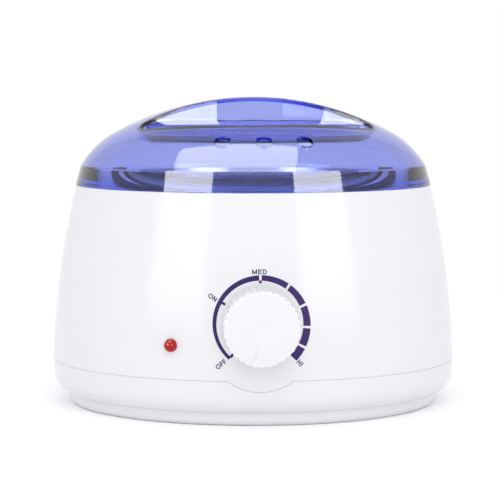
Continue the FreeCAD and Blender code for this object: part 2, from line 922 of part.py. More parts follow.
lid_edge = keep("lid_edge", rim_height + cell.lid_gap)
lid_edge_radius = keep("lid_edge_radius", rim_radius + cell.lid_overhang)
crease_radius = keep("crease_radius", lid_edge_radius - cell.band_draw)
crease_height = keep("crease_height", lid_edge + cell.band_height)
shoulder_start = keep("shoulder_start", crease_radius - cell.shoulder_width)
shoulder_height = keep("shoulder_height", crease_height + cell.shoulder_rise)
crown_height = keep("crown_height", shoulder_height + cell.crown_rise)
crown_arc = keep(
    "crown_arc",
    (shoulder_start * shoulder_start + cell.crown_rise * cell.crown_rise) / (2 * cell.crown_rise),
)
shoulder_slope_x = keep("shoulder_slope_x", -shoulder_start / crown_arc)
shoulder_slope_z = keep("shoulder_slope_z", (cell.crown_rise - crown_arc) / crown_arc)
shoulder_run_x = crease_radius - shoulder_start
shoulder_run_z = crease_height - shoulder_height
shoulder_arc = keep(
    "shoulder_arc",
    (shoulder_run_x * shoulder_run_x + shoulder_run_z * shoulder_run_z)
    / (2 * (shoulder_slope_x * shoulder_run_x + shoulder_slope_z * shoulder_run_z)),
)
shoulder_centre_x = keep("shoulder_centre_x", shoulder_start + shoulder_slope_x * shoulder_arc)
shoulder_centre_z = keep("shoulder_centre_z", shoulder_height + shoulder_slope_z * shoulder_arc)
skirt_outer = keep("skirt_outer", rim_inner - cell.skirt_clearance)
skirt_low = keep("skirt_low", lid_edge - cell.skirt_drop)
skirt_inner = keep("skirt_inner", skirt_outer - cell.skirt_wall)
scoop_half_width = keep("scoop_half_width", shoulder_start - cell.scoop_end_inset)
scoop_reach = keep("scoop_reach", shoulder_start - cell.scoop_front_inset)
scoop_floor = keep("scoop_floor", crown_height - cell.scoop_depth)
vent_circle = keep("vent_circle", shoulder_start + cell.vent_offset)


def dome(label, inset):
    """Solid of the lid's dome: its outside, or with an inset the room under its wall."""
    crease_up = crease_height - inset / 2
    arc = shoulder_arc - inset
    rise = crease_up - shoulder_centre_z
    crease_out = shoulder_centre_x + root(arc * arc - rise * rise)
    low = skirt_low - inset
    if inset:
        outline = Outline(0, low).line(skirt_inner, low)
    else:
        outline = Outline(0, low).line(skirt_outer, low)
        outline.line(skirt_outer, lid_edge).line(lid_edge_radius, lid_edge)
    return turned(
        label,
        outline.line(crease_out, crease_up)
        .arc(
            shoulder_start + shoulder_slope_x * inset,
            shoulder_height + shoulder_slope_z * inset,
            arc,
            1,
        )
        .arc(0, crown_height - inset, crown_arc - inset, 1),
    )


def scoop_outline(skin):
    """Plan of one finger scoop, grown by a skin: the fin's hollow side and a round front."""
    half_fin = cell.fin_thickness / 2
    side = cell.fin_side_arc
    corner = half_fin + side - root(side * side - scoop_half_width * scoop_half_width)
    rise = scoop_reach - corner
    front = (scoop_half_width * scoop_half_width + rise * rise) / (2 * rise)
    side_centre, front_centre = half_fin + side, scoop_reach - front
    side, front = side + skin, front + skin
    meet_y = (
        side * side - front * front - side_centre * side_centre + front_centre * front_centre
    ) / (2 * (front_centre - side_centre))
    meet_x = root(side * side - (meet_y - side_centre) * (meet_y - side_centre))
    return Outline(-meet_x, meet_y).arc(meet_x, meet_y, side, 1).arc_home(front, 1)


def scoop(label, skin, yaw):
    """Cutter for one finger scoop, grown by a skin and turned to its side of the fin."""
    low = scoop_floor - skin
    body = padded(label, scoop_outline(skin), cell.scoop_depth + 2 * cell.lid_wall, lift=low)
    round_edges(body, cell.scoop_corner_arc + skin, lambda edge: edge.BoundBox.ZLength > cell.lid_wall.number)
    floor = low.number + 0.01
    round_edges(body, cell.scoop_foot_arc + skin, lambda edge: edge.BoundBox.ZMax < floor)
    return place(body, yaw=yaw)


def on_dome(edge):
    """Whether an edge of the lid lies on the dome's top curve, where a scoop's wall meets it."""
    arc = crown_arc.number
    inside = edge.Length > 1 and math.hypot(edge.CenterOfMass.x, edge.CenterOfMass.y) < arc / 2
    return inside and all(
        abs(crown_height.number - arc + math.sqrt(arc * arc - p.x * p.x - p.y * p.y) - p.z) < 0.01
        and math.hypot(p.x, p.y) < shoulder_start.number - 0.1
        for p in edge.discretize(5)
    )


def vent(number):
    """Cutter for one vent hole in the front of the dome, square to its shoulder."""
    angle = cell.vent_spacing * (number - (cell.vent_count.number - 1) / 2)
    out = vent_circle - shoulder_centre_x
    height = shoulder_centre_z + root(shoulder_arc * shoulder_arc - out * out)
    back = 3 * cell.lid_wall
    start = vent_circle - back * sine(cell.vent_lean)
    return rod(
        f"vent_{number}",
        cell.vent_radius,
        2 * back,
        x=start * sine(angle),
        y=-start * cosine(angle),
        z=height - back * cosine(cell.vent_lean),
        yaw=angle,
        roll=cell.vent_lean,
    )


def make_lid():
    """See-through lid: dome and band over a skirt, two finger scoops and the hollow grip fin they leave."""
    outside = cut("lid_outside", dome("lid_dome", 0), *(scoop(f"scoop_{yaw}", 0, yaw) for yaw in (0, 180)))
    skins = (scoop(f"scoop_skin_{yaw}", cell.lid_wall, yaw) for yaw in (0, 180))
    room = cut("lid_room", dome("lid_room_dome", cell.lid_wall), *skins)
    vents = [vent(n) for n in range(int(cell.vent_count.number))]
    return place(cut("lid", rounded(outside, cell.scoop_lip_arc, on_dome), room, *vents), yaw=cell.lid_turn)


# ---------------------------------------------------------------- pot and bail

collar_taper = keep(
    "collar_taper", (cell.pot_radius - pot_foot_radius) / (cell.pot_depth - cell.pot_corner_arc)
)
collar_inner = cell.pot_radius - cell.pot_wall - collar_taper * cell.ear_height
ear_slot_inner = keep("ear_slot_inner", collar_inner - cell.ear_clearance)
ear_slot_outer = keep("ear_slot_outer", cell.pot_radius + cell.pot_bead_arc + cell.ear_clearance)
ear_inner = keep("ear_inner", ear_slot_inner - cell.ear_inner_wall)
ear_outer = keep("ear_outer", ear_slot_outer + cell.ear_outer_wall)
ear_top = keep("ear_top", pot_rim_height + cell.ear_clearance + cell.ear_cap)
bail_inner = keep("bail_inner", ear_outer + cell.bail_gap)
bail_outer = keep("bail_outer", bail_inner + cell.bail_width)


def across(name, radius, start, end, z, yaw=0):
    """A rod along +X (or -X at a yaw of 180) between two distances from the axis."""
    sign = -1 if yaw else 1
    return rod(name, radius, end - start, x=sign * start, z=z, yaw=yaw, pitch=90)


def make_wax_pot():
    """Lift-out aluminium pot: rounded foot, slight taper, rolled rim and holes for the bail's pins."""
    low, foot, corner = cell.pot_base_height, pot_foot_radius, cell.pot_corner_arc
    wall, bead, rim = cell.pot_wall, cell.pot_bead_arc, pot_rim_height
    cup = turned(
        "pot_cup",
        Outline(0, low)
        .line(foot - corner, low)
        .arc(foot, low + corner, corner, 1)
        .line(cell.pot_radius, rim - 2 * bead)
        .arc(cell.pot_radius + bead, rim - bead, bead, 1)
        .arc(cell.pot_radius, rim, bead, 1)
        .line(cell.pot_radius - wall, rim)
        .line(foot - wall, low + corner)
        .arc(foot - corner, low + cell.pot_floor, corner - wall, -1)
        .line(0, low + cell.pot_floor),
    )
    return cut("wax_pot", cup, *(pin_hole(f"pot_pin_hole_{yaw}", yaw) for yaw in (0, 180)))


def pin_hole(name, yaw):
    """Hole for a bail pin through the ear and the collar on one side."""
    return across(name, cell.pin_radius + cell.pin_fit, ear_inner - 1, ear_outer + 1, pivot_height, yaw)


def make_ear(label, yaw):
    """Black saddle over the pot's rim that the bail's pin passes through."""
    half, top = cell.ear_width / 2, ear_top
    low = top - cell.ear_height
    corner = cell.ear_width / 5
    saddle = padded(
        f"{label}_block",
        Outline(-half, low)
        .line(half, low)
        .line(half, top - corner)
        .arc(half - corner, top, corner, 1)
        .line(-half + corner, top)
        .arc(-half, top - corner, corner, 1),
        ear_outer - ear_inner,
        lift=ear_inner,
        role="YZ_Plane",
    )
    place(saddle, yaw=yaw)
    slot = tube(
        f"{label}_slot",
        ear_slot_outer,
        ear_slot_inner,
        cell.ear_height - cell.ear_cap + 1,
        low=low - 1,
    )
    return cut(label, saddle, slot, pin_hole(f"{label}_pin_hole", yaw))


def make_bail_pins():
    """Two headed pins that the bail turns on."""
    pins = []
    for yaw in (0, 180):
        head = cell.pin_head_height
        inside = ear_inner - head
        outside = bail_outer + cell.bail_gap
        height = pivot_height
        wide = cell.pin_head_radius
        shank = across(f"pin_shank_{yaw}", cell.pin_radius, inside, outside + head, height, yaw)
        inner_head = across(f"pin_inner_head_{yaw}", wide, inside, ear_inner, height, yaw)
        outer_head = across(f"pin_outer_head_{yaw}", wide, outside, outside + head, height, yaw)
        pins.append(joined(f"bail_pin_{yaw}", shank, inner_head, outer_head))
    return group("bail_pins", pins)


def make_bail_handle():
    """Black hoop folded forward round the collar, hung from an eye at each end by a short lug."""
    arm, outer, inner = -cell.bail_arm, bail_outer, bail_inner
    low = pivot_height - cell.bail_drop - cell.bail_height / 2
    hoop = padded(
        "bail_hoop",
        Outline(outer, 0)
        .line(outer, arm)
        .arc(0, arm - outer, outer, -1)
        .arc(-outer, arm, outer, -1)
        .line(-outer, 0)
        .line(-inner, 0)
        .line(-inner, arm)
        .arc(0, arm - inner, inner, 1)
        .arc(inner, arm, inner, 1)
        .line(inner, 0),
        cell.bail_height,
        lift=low,
    )
    round_edges(hoop, cell.bail_edge_arc, lambda edge: edge.BoundBox.ZLength < cell.bail_edge_arc.number)
    ends = []
    for yaw, side in ((0, 1), (180, -1)):
        lug = block(
            f"bail_lug_{yaw}",
            cell.bail_width,
            cell.bail_eye_radius,
            cell.bail_drop,
            x=(inner + outer) / 2 * side,
            y=-cell.bail_eye_radius,
            z=pivot_height - cell.bail_drop,
        )
        eye = across(f"bail_eye_{yaw}", cell.bail_eye_radius, inner, outer, pivot_height, yaw)
        ends.append(joined(f"bail_end_{yaw}", eye, lug))
    bore = cell.pin_radius + cell.pin_fit
    holes = [
        across(f"bail_hole_{yaw}", bore, inner - 1, outer + 1, pivot_height, yaw) for yaw in (0, 180)
    ]
    return cut("bail_handle", joined("bail_with_ends", hoop, *ends), *holes)


# ---------------------------------------------------------------- well and heater

flange_low = keep("flange_low", flange_top - cell.well_wall)
heater_low = keep("heater_low", well_floor_low - cell.heater_thickness)
clamp_low = keep("clamp_low", heater_low - cell.clamp_thickness)
clamp_radius = keep("clamp_radius", cell.heater_radius + cell.clamp_overlap)
clamp_rib_radius = keep("clamp_rib_radius", cell.heater_radius - cell.clamp_rib_inset)


def flange_holes(name, low, length):
    """Clearance holes for the well's screws."""
    radius = cell.well_screw_radius + cell.screw_clearance
    return [rod(f"{name}_{n}", radius, length, x=x, y=y, z=low) for n, x, y in WELL_SCREWS]


def make_heating_well():
    """Fixed aluminium well with a screwed flange and a welded stud under its floor."""
    low, corner = well_floor_low, cell.well_corner_arc
    cup = turned(
        "well_cup",
        Outline(0, low)
        .line(well_outer - corner, low)
        .arc(well_outer, low + corner, corner, 1)
        .line(well_outer, flange_low)
        .line(flange_radius, flange_low)
        .line(flange_radius, flange_top)
        .line(well_radius, flange_top)
        .line(well_radius, low + corner)
        .arc(well_outer - corner, well_floor_top, corner - cell.well_wall, -1)
        .line(0, well_floor_top),
    )
    stud = rod("well_stud", cell.stud_radius, cell.stud_length, z=low - cell.stud_length)
    holes = flange_holes("flange_hole", flange_low, cell.well_wall)
    return cut("heating_well", joined("well_with_stud", cup, stud), *holes)


def make_well_gasket():
    """Heat-resisting ring between the well's flange and the housing's deck."""
    ring = tube("gasket_ring", flange_radius, well_radius, cell.gasket_thickness, low=flange_top)
    return cut("well_gasket", ring, *flange_holes("gasket_hole", flange_top, cell.gasket_thickness))


def make_well_screws():
    """Four small screws that hold the flange and the gasket up to the deck."""
    screws = []
    for n, x, y in WELL_SCREWS:
        tall = cell.well_screw_head_height
        low = flange_low - tall
        head = rod(f"well_screw_head_{n}", cell.well_screw_head_radius, tall, x=x, y=y, z=low)
        length = cell.well_wall + cell.gasket_thickness + cell.well_screw_bite
        shank = rod(f"well_screw_shank_{n}", cell.well_screw_radius, length, x=x, y=y, z=flange_low)
        screws.append(joined(f"well_screw_{n}", head, shank))
    return group("well_screws", screws)


def make_heater_disc():
    """Mica-clad disc heater with a hole for the stud and two terminal blades at the back."""
    bore = cell.stud_radius + cell.screw_clearance
    disc = tube("heater_plate", cell.heater_radius, bore, cell.heater_thickness, low=heater_low)
    reach = cell.heater_radius + cell.blade_length
    blades = [
        block(
            f"heater_blade_{side}",
            cell.blade_width,
            cell.blade_length + 2 * cell.blade_sheet,
            cell.blade_sheet,
            x=side * cell.blade_width,
            y=reach - cell.blade_length - 2 * cell.blade_sheet,
            z=heater_low + cell.heater_thickness / 2,
        )
        for side in (-1, 1)
    ]
    return joined("heater_disc", disc, *blades)


def make_clamp_plate():
    """Steel plate with a pressed stiffening ring that holds the heater against the well."""
    bore = cell.stud_radius + cell.screw_clearance
    half, rib = cell.clamp_rib_width / 2, cell.clamp_rib_height
    middle = clamp_rib_radius
    slope = half + rib / 2
    return turned(
        "clamp_plate",
        Outline(bore, clamp_low)
        .line(middle - slope, clamp_low)
        .line(middle - half, clamp_low - rib)
        .line(middle + half, clamp_low - rib)
        .line(middle + slope, clamp_low)
        .line(clamp_radius, clamp_low)
        .line(clamp_radius, heater_low)
        .line(middle + slope, heater_low)
        .line(middle + half, heater_low - rib)
        .line(middle - half, heater_low - rib)
        .line(middle - slope, heater_low)
        .line(bore, heater_low),
    )


def make_clamp_nut():
    """Hexagon nut on the well's stud."""
    nut = hexagon("clamp_nut", cell.nut_flats, cell.nut_height, cell.stud_radius + cell.nut_clearance)
    return place(nut, z=clamp_low - cell.nut_height)


def make_thermal_fuse():
    """One-shot cut-out with a lead at each end, lying under the clamp plate."""
    half = cell.fuse_length / 2
    case = across("fuse_case", cell.fuse_radius, -half, half, fuse_height)
    reach = half + cell.fuse_lead
    lead = across("fuse_leads", cell.fuse_lead_radius, -reach, reach, fuse_height)
    return place(joined("thermal_fuse", case, lead), y=-cell.fuse_offset)


def make_fuse_clip():
    """Sheet saddle that holds the cut-out to the clamp plate."""
    inner = cell.fuse_radius + cell.slip_clearance
    outer = inner + cell.saddle_sheet
    foot, top, mid = outer + cell.saddle_foot, clamp_low, fuse_height
    under = top - cell.saddle_sheet
    saddle = padded(
        "fuse_clip",
        Outline(-foot, under)
        .line(-outer, under)
        .line(-outer, mid)
        .arc(0, mid - outer, outer, 1)
        .arc(outer, mid, outer, 1)
        .line(outer, under)
        .line(foot, under)
        .line(foot, top)
        .line(inner, top)
        .line(inner, mid)
        .arc(0, mid - inner, inner, -1)
        .arc(-inner, mid, inner, -1)
        .line(-inner, top)
        .line(-foot, top),
        cell.saddle_width,
        lift=-cell.saddle_width / 2,
        role="YZ_Plane",
    )
    return place(saddle, y=-cell.fuse_offset)


fuse_height = keep("fuse_height", clamp_low - cell.slip_clearance - cell.fuse_radius)


# ---------------------------------------------------------------- thermostat and knob

bracket_front = keep("bracket_front", wall_at_dial - cell.bracket_setback)
bracket_back = keep("bracket_back", bracket_front - cell.bracket_sheet)
bracket_low = keep("bracket_low", cell.dial_height - cell.bracket_below)
bracket_high = keep("bracket_high", cell.dial_height + cell.bracket_above)
bush_start = keep("bush_start", bracket_back - cell.bush_root)
shaft_root = keep("shaft_root", bush_start - cell.shaft_tail)
shaft_end = keep("shaft_end", knob_front - 2 * cell.knob_wall)
shaft_length = keep("shaft_length", shaft_end - shaft_root)


def along_dial(name, radius, start, length):
    """A rod on the dial's axis from a distance in front of the body's axis."""
    return rod(name, radius, length, y=-start, z=cell.dial_height, outward=True)


def make_thermostat_bracket():
    """Sheet channel on the well's wall that carries the thermostat behind the dial."""
    half, sheet = cell.bracket_width / 2, cell.bracket_sheet
    front, back = -bracket_front, -bracket_back
    rear = -well_outer / 2
    tall = bracket_high - bracket_low
    channel = padded(
        "bracket_channel",
        Outline(-half, rear)
        .line(-half, front)
        .line(half, front)
        .line(half, rear)
        .line(half - sheet, rear)
        .line(half - sheet, back)
        .line(-half + sheet, back)
        .line(-half + sheet, rear),
        tall,
        lift=bracket_low,
    )
    low = bracket_high - cell.bracket_foot_height
    sleeve = rod("bracket_sleeve", well_outer + cell.slip_clearance + sheet, cell.bracket_foot_height, z=low)
    sectors = joined(
        "bracket_sectors",
        *(
            block(
                f"bracket_sector_{side}",
                cell.bracket_foot_width + sheet,
                well_outer,
                cell.bracket_foot_height,
                x=side * (half + cell.bracket_foot_width / 2 - sheet / 2),
                y=-well_outer - sheet,
                z=low,
            )
            for side in (-1, 1)
        ),
    )
    return cut(
        "thermostat_bracket",
        joined("bracket_solid", channel, common("bracket_feet", sleeve, sectors)),
        rod("bracket_round", well_outer + cell.slip_clearance, tall, z=bracket_low),
        along_dial("bracket_hole", cell.bush_radius + cell.slip_clearance, bracket_back, sheet),
    )


def make_thermostat_body():
    """Ceramic block of the adjustable thermostat with two terminal blades below."""
    base = block(
        "thermostat_block",
        cell.block_width,
        cell.block_depth,
        cell.block_height,
        y=-bracket_back,
        z=cell.dial_height - cell.block_height / 2,
    )
    blades = [
        block(
            f"thermostat_blade_{side}",
            cell.blade_sheet,
            cell.blade_width,
            cell.blade_length + cell.blade_sheet,
            x=side * cell.block_width / 4,
            y=-bracket_back + cell.blade_sheet,
            z=cell.dial_height - cell.block_height / 2 - cell.blade_length,
        )
        for side in (-1, 1)
    ]
    return cut(
        "thermostat_body",
        joined("thermostat_solid", base, *blades),
        along_dial("bush_socket", cell.bush_radius + cell.slip_clearance, bush_start, cell.bush_root),
        along_dial(
            "shaft_socket",
            cell.shaft_radius + cell.slip_clearance,
            shaft_root - cell.slip_clearance,
            cell.bush_root,
        ),
    )


def make_thermostat_bush():
    """Brass bush that the shaft turns in."""
    sleeve = tube("thermostat_bush", cell.bush_radius, cell.shaft_radius + cell.shaft_fit, cell.bush_length)
    return place(sleeve, y=-bush_start, z=cell.dial_height, outward=True)


def make_thermostat_nut():
    """Flat nut that holds the bush in the bracket."""
    bore = cell.bush_radius + cell.nut_clearance
    nut = hexagon("thermostat_nut", cell.bush_nut_flats, cell.bush_nut_height, bore)
    return place(nut, y=-bracket_front, z=cell.dial_height, outward=True)


def shaft_solid(label, clearance):
    """The shaft with its flat, grown by a clearance, along its own Z axis."""
    radius = cell.shaft_radius + clearance
    round_bar = rod(f"{label}_bar", radius, shaft_length + clearance, z=shaft_root)
    flat = block(
        f"{label}_flat",
        4 * cell.shaft_radius,
        2 * cell.shaft_radius,
        cell.shaft_flat_length + 2 * clearance,
        y=radius - cell.shaft_flat_depth,
        z=shaft_end - cell.shaft_flat_length,
    )
    return cut(label, round_bar, flat)


def on_dial(thing):
    """Put a piece modelled along its own Z axis on the dial's axis."""
    return place(thing, z=cell.dial_height, outward=True)


def knob_ribs():
    """Plan of the knob's ribs: equal arcs that bulge out to its radius and meet in valleys."""
    count = int(cell.lobe_count.number)
    half = 180 / cell.lobe_count
    middle = cell.knob_radius - cell.lobe_arc
    side = middle * sine(half)
    valley = middle * cosine(half) + root(cell.lobe_arc * cell.lobe_arc - side * side)
    outline = Outline(valley * cosine(half), -valley * sine(half))
    for number in range(1, count):
        angle = (2 * number - 1) * half
        outline.arc(valley * cosine(angle), valley * sine(angle), cell.lobe_arc, 1)
    return outline.arc_home(cell.lobe_arc, 1)


def make_knob():
    """White ribbed knob: hollow skirt, hub with a D-shaped bore, dished centre and a pointer ridge."""
    back, front, wall = knob_back, knob_front, cell.knob_wall
    rim = cell.knob_radius + cell.lobe_inset
    face = rim - cell.knob_edge_arc
    inner = cell.knob_radius - wall
    face_arc = (face * face + cell.knob_dome * cell.knob_dome) / (2 * cell.knob_dome)
    dimple, dip = cell.dimple_radius, cell.dimple_depth
    dimple_arc = (dimple * dimple + dip * dip) / (2 * dip)
    dimple_edge = front + cell.knob_dome - face_arc + root(face_arc * face_arc - dimple * dimple)
    hub_end = back + cell.hub_wall_gap
    cap = turned(
        "knob_cap",
        Outline(rim, back)
        .line(rim, front - cell.knob_edge_arc)
        .arc(face, front, cell.knob_edge_arc, 1)
        .arc(dimple, dimple_edge, face_arc, 1)
        .arc(0, dimple_edge - dip, dimple_arc, -1)
        .line(0, hub_end)
        .line(cell.hub_radius, hub_end)
        .line(cell.hub_radius, front - wall)
        .line(inner, front - wall)
        .line(inner, back),
    )
    grip = common("knob_grip", cap, padded("knob_ribs", knob_ribs(), cell.knob_depth + 2, lift=back - 1))
    raised = turned(
        "pointer_cap",
        Outline(0, front - cell.knob_edge_arc)
        .line(face, front - cell.knob_edge_arc)
        .line(face, front + cell.pointer_rise)
        .arc(0, front + cell.knob_dome + cell.pointer_rise, face_arc, 1),
    )
    bar = doc.addObject("Part::Box", "pointer_bar")
    bind(bar, Length=cell.pointer_end - cell.pointer_start, Width=cell.pointer_width, Height=2 * wall)
    half = cell.pointer_width / 2
    angle = cell.pointer_angle
    place(
        bar,
        x=cell.pointer_start * cosine(angle) + half * sine(angle),
        y=cell.pointer_start * sine(angle) - half * cosine(angle),
        z=front - cell.knob_edge_arc,
        yaw=angle,
    )
    pointer = common("knob_pointer", raised, bar)
    bore = shaft_solid("knob_bore", cell.shaft_fit)
    return on_dial(cut("knob", joined("knob_solid", grip, pointer), bore))


def make_knob_clip():
    """Split spring ring round the end of the knob's hub."""
    ring = tube("clip_ring", cell.hub_radius + cell.clip_wire, cell.hub_radius, cell.clip_width)
    slit = block("clip_slit_cut", cell.clip_slit, 2 * cell.hub_radius, cell.clip_width)
    start = knob_back + cell.hub_wall_gap
    return place(cut("knob_clip", ring, slit), y=-start, z=cell.dial_height, outward=True)


# ---------------------------------------------------------------- lamp, gland and terminals


def make_lamp_lens():
    """Red domed lens with a hollow stem through the wall."""
    wall = wall_at_lamp + cell.lens_stand_off
    brim = wall + cell.lens_flange
    rise = cell.lens_rise - cell.lens_flange
    arc = (cell.lens_radius * cell.lens_radius + rise * rise) / (2 * rise)
    end = wall - cell.lens_stem_length
    lens = turned(
        "lamp_lens",
        Outline(0, wall + cell.lens_rise)
        .arc(cell.lens_radius, brim, arc, -1)
        .line(cell.lens_flange_radius, brim)
        .line(cell.lens_flange_radius, wall)
        .line(cell.lens_stem_radius, wall)
        .line(cell.lens_stem_radius, end)
        .line(cell.lens_bore, end)
        .line(cell.lens_bore, wall)
        .line(0, brim),
    )
    return at_lamp(lens)


def at_lamp(thing):
    """Put a piece modelled along its own Z axis on the lamp's axis."""
    return place(thing, z=cell.lamp_height, yaw=cell.lamp_angle, outward=True)


def make_lamp_bulb():
    """Neon bulb inside the lens."""
    start = wall_at_lamp + cell.lens_stand_off - cell.bulb_length - cell.lens_flange
    end = start + cell.bulb_length
    bulb = turned(
        "lamp_bulb",
        Outline(0, start)
        .line(cell.bulb_radius, start)
        .line(cell.bulb_radius, end - cell.bulb_radius)
        .arc(0, end, cell.bulb_radius, 1),
    )
    return at_lamp(bulb)


def make_lamp_clip():
    """Push-on ring that holds the lens from inside."""
    ring = tube(
        "lamp_clip",
        cell.lamp_clip_radius,
        cell.lens_stem_radius + cell.slip_clearance / 2,
        cell.lamp_clip_sheet,
        low=wall_at_lamp - cell.housing_wall - cell.lamp_clip_gap - cell.lamp_clip_sheet,
    )
    return at_lamp(ring)


def make_cord_gland():
    """Flanged bushing for the mains cord, slid up a notch in the rear wall; its tongue fills the notch."""
    wall = wall_at_gland + cell.gland_stand_off
    inner_face = wall_at_gland - cell.housing_wall - cell.gland_inner_gap
    end = inner_face - cell.gland_inner_flange
    bushing = turned(
        "gland_bushing",
        Outline(cell.gland_bore, end)
        .line(cell.gland_inner_radius, end)
        .line(cell.gland_inner_radius, inner_face)
        .line(cell.gland_stem_radius, inner_face)
        .line(cell.gland_stem_radius, wall)
        .line(cell.gland_flange_radius, wall)
        .line(cell.gland_flange_radius, wall + cell.gland_flange / 2)
        .arc(
            cell.gland_flange_radius - cell.gland_flange / 2,
            wall + cell.gland_flange,
            cell.gland_flange / 2,
            1,
        )
        .line(cell.gland_bore, wall + cell.gland_flange),
    )
    place(bushing, z=cell.gland_height, yaw=180, outward=True)
    tongue_back = belt_radius - cell.housing_wall
    plate = block(
        "gland_plate",
        2 * cell.gland_stem_radius,
        wall_at_gland - tongue_back,
        cell.gland_height + cell.gland_stem_radius - cell.seam_height,
        y=tongue_back,
        z=cell.seam_height,
    )
    opening = rod(
        "gland_plate_hole",
        (cell.gland_bore + cell.gland_stem_radius) / 2,
        4 * cell.housing_wall,
        y=tongue_back - cell.housing_wall,
        z=cell.gland_height,
        yaw=180,
        outward=True,
    )
    return joined("cord_gland", bushing, cut("gland_tongue", plate, opening))


def terminal_places():
    """Offsets of the terminals from the block's middle."""
    count = int(cell.terminal_count.number)
    return [(n, cell.terminal_pitch * (n - (count - 1) / 2)) for n in range(count)]


def make_terminal_block():
    """Mains terminal block on the base's floor."""
    floor = cell.foot_rise + cell.base_wall
    middle = floor + cell.terminal_tall / 2
    back = cell.terminal_offset
    depth = cell.terminal_depth
    housing = block("terminal_housing", cell.terminal_width, depth, cell.terminal_tall, y=back, z=floor)
    wires = [
        rod(f"terminal_bore_{n}", cell.terminal_bore, depth, x=x, y=back + depth, z=middle, outward=True)
        for n, x in terminal_places()
    ]
    wells = [
        rod(
            f"terminal_well_{n}",
            cell.terminal_screw_radius + cell.slip_clearance,
            cell.terminal_tall / 2,
            x=x,
            y=back + depth / 2,
            z=middle,
        )
        for n, x in terminal_places()
    ]
    return cut("terminal_block", housing, *wires, *wells)


def make_terminal_screws():
    """Clamping screws of the terminals."""
    top = cell.foot_rise + cell.base_wall + cell.terminal_tall
    return group(
        "terminal_screws",
        [
            rod(
                f"terminal_screw_{n}",
                cell.terminal_screw_radius,
                cell.terminal_screw_length,
                x=x,
                y=cell.terminal_offset + cell.terminal_depth / 2,
                z=top - cell.terminal_screw_length,
            )
            for n, x in terminal_places()
        ],
    )


# ---------------------------------------------------------------- build, test and write

NODES = [
    make_upper_housing(),
    make_deck_ring(),
    make_base_shell(),
    make_base_screws(),
    *make_foot_pads(),
    make_lid(),
    make_wax_pot(),
    make_ear("ear_right", 0),
    make_ear("ear_left", 180),
    make_bail_pins(),
    make_bail_handle(),
    make_heating_well(),
    make_well_gasket(),
    make_well_screws(),
    make_heater_disc(),
    make_clamp_plate(),
    make_clamp_nut(),
    make_thermal_fuse(),
    make_fuse_clip(),
    make_thermostat_bracket(),
    make_thermostat_body(),
    make_thermostat_bush(),
    make_thermostat_nut(),
    on_dial(shaft_solid("thermostat_shaft", 0)),
    make_knob(),
    make_knob_clip(),
    make_lamp_lens(),
    make_lamp_bulb(),
    make_lamp_clip(),
    make_cord_gland(),
    make_terminal_block(),
    make_terminal_screws(),
]

doc.recompute()
for thing in doc.Objects:
    if {"Invalid", "Error"} & set(thing.State):
        raise RuntimeError(f"{thing.Label} failed to build: {thing.State}")
for node in NODES:
    if node.Shape.isNull() or not node.Shape.isValid():
        raise RuntimeError(f"{node.Label} has no valid shape")
for node in NODES:
    node.Shape.exportStep(f"parts/{node.Label}.step")
print(f"{len(NODES)} nodes written")
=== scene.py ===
"""The visible surfaces of a pot-type wax heater, laid out as an add-on.

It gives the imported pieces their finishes, and builds the dial's print, the ribbed knob, the lamp's lens
and the studio. Everything is in metres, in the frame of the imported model: +Z up, the origin on the
body's axis in the plane it rests on, the dial facing -Y. Angles on the dial are in degrees from its
right-hand side, anticlockwise as the user sees it.
"""

import json
import math

import bmesh
import bpy
import numpy as np
from bpy.props import FloatProperty, FloatVectorProperty, PointerProperty
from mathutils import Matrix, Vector


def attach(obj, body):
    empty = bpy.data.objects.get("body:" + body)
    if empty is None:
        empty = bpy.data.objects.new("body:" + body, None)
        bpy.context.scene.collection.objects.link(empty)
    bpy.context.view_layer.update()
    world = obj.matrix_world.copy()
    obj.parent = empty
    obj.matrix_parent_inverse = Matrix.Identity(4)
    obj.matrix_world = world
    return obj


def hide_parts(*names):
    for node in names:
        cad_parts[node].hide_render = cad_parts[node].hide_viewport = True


bl_info = {
    "name": "Wax Heater Finishes",
    "version": (1, 0, 0),
    "blender": (4, 5, 0),
    "location": "3D View > Sidebar > Wax Heater",
    "description": "Builds the visible surfaces and the studio of a pot-type wax heater",
    "category": "Object",
}

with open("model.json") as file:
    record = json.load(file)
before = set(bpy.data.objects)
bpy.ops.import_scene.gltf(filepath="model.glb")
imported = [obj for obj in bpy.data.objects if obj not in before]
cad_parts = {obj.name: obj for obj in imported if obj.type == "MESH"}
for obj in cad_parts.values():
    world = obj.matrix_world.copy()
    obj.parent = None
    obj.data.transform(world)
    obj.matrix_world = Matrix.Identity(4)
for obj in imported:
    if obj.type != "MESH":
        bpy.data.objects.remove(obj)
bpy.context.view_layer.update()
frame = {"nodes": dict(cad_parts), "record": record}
MM = 0.001


def length(name, description, default):
    """A size property in metres."""
    return FloatProperty(
        name=name, description=description, default=default, unit="LENGTH", precision=5
    )


def angle(name, description, default):
    """An angle property, given in degrees and kept in radians."""
    return FloatProperty(
        name=name, description=description, default=math.radians(default), subtype="ANGLE"
    )


def colour(name, description, default):
    """A linear colour property."""
    return FloatVectorProperty(
        name=name, description=description, default=default, size=3, min=0, max=1, subtype="COLOR"
    )


def amount(name, description, default):
    """A plain number property."""
    return FloatProperty(name=name, description=description, default=default)


def location(name, description, default):
    """A place property in metres."""
    return FloatVectorProperty(
        name=name, description=description, default=default, subtype="TRANSLATION"
    )


# ---------------------------------------------------------------- sizes and colours


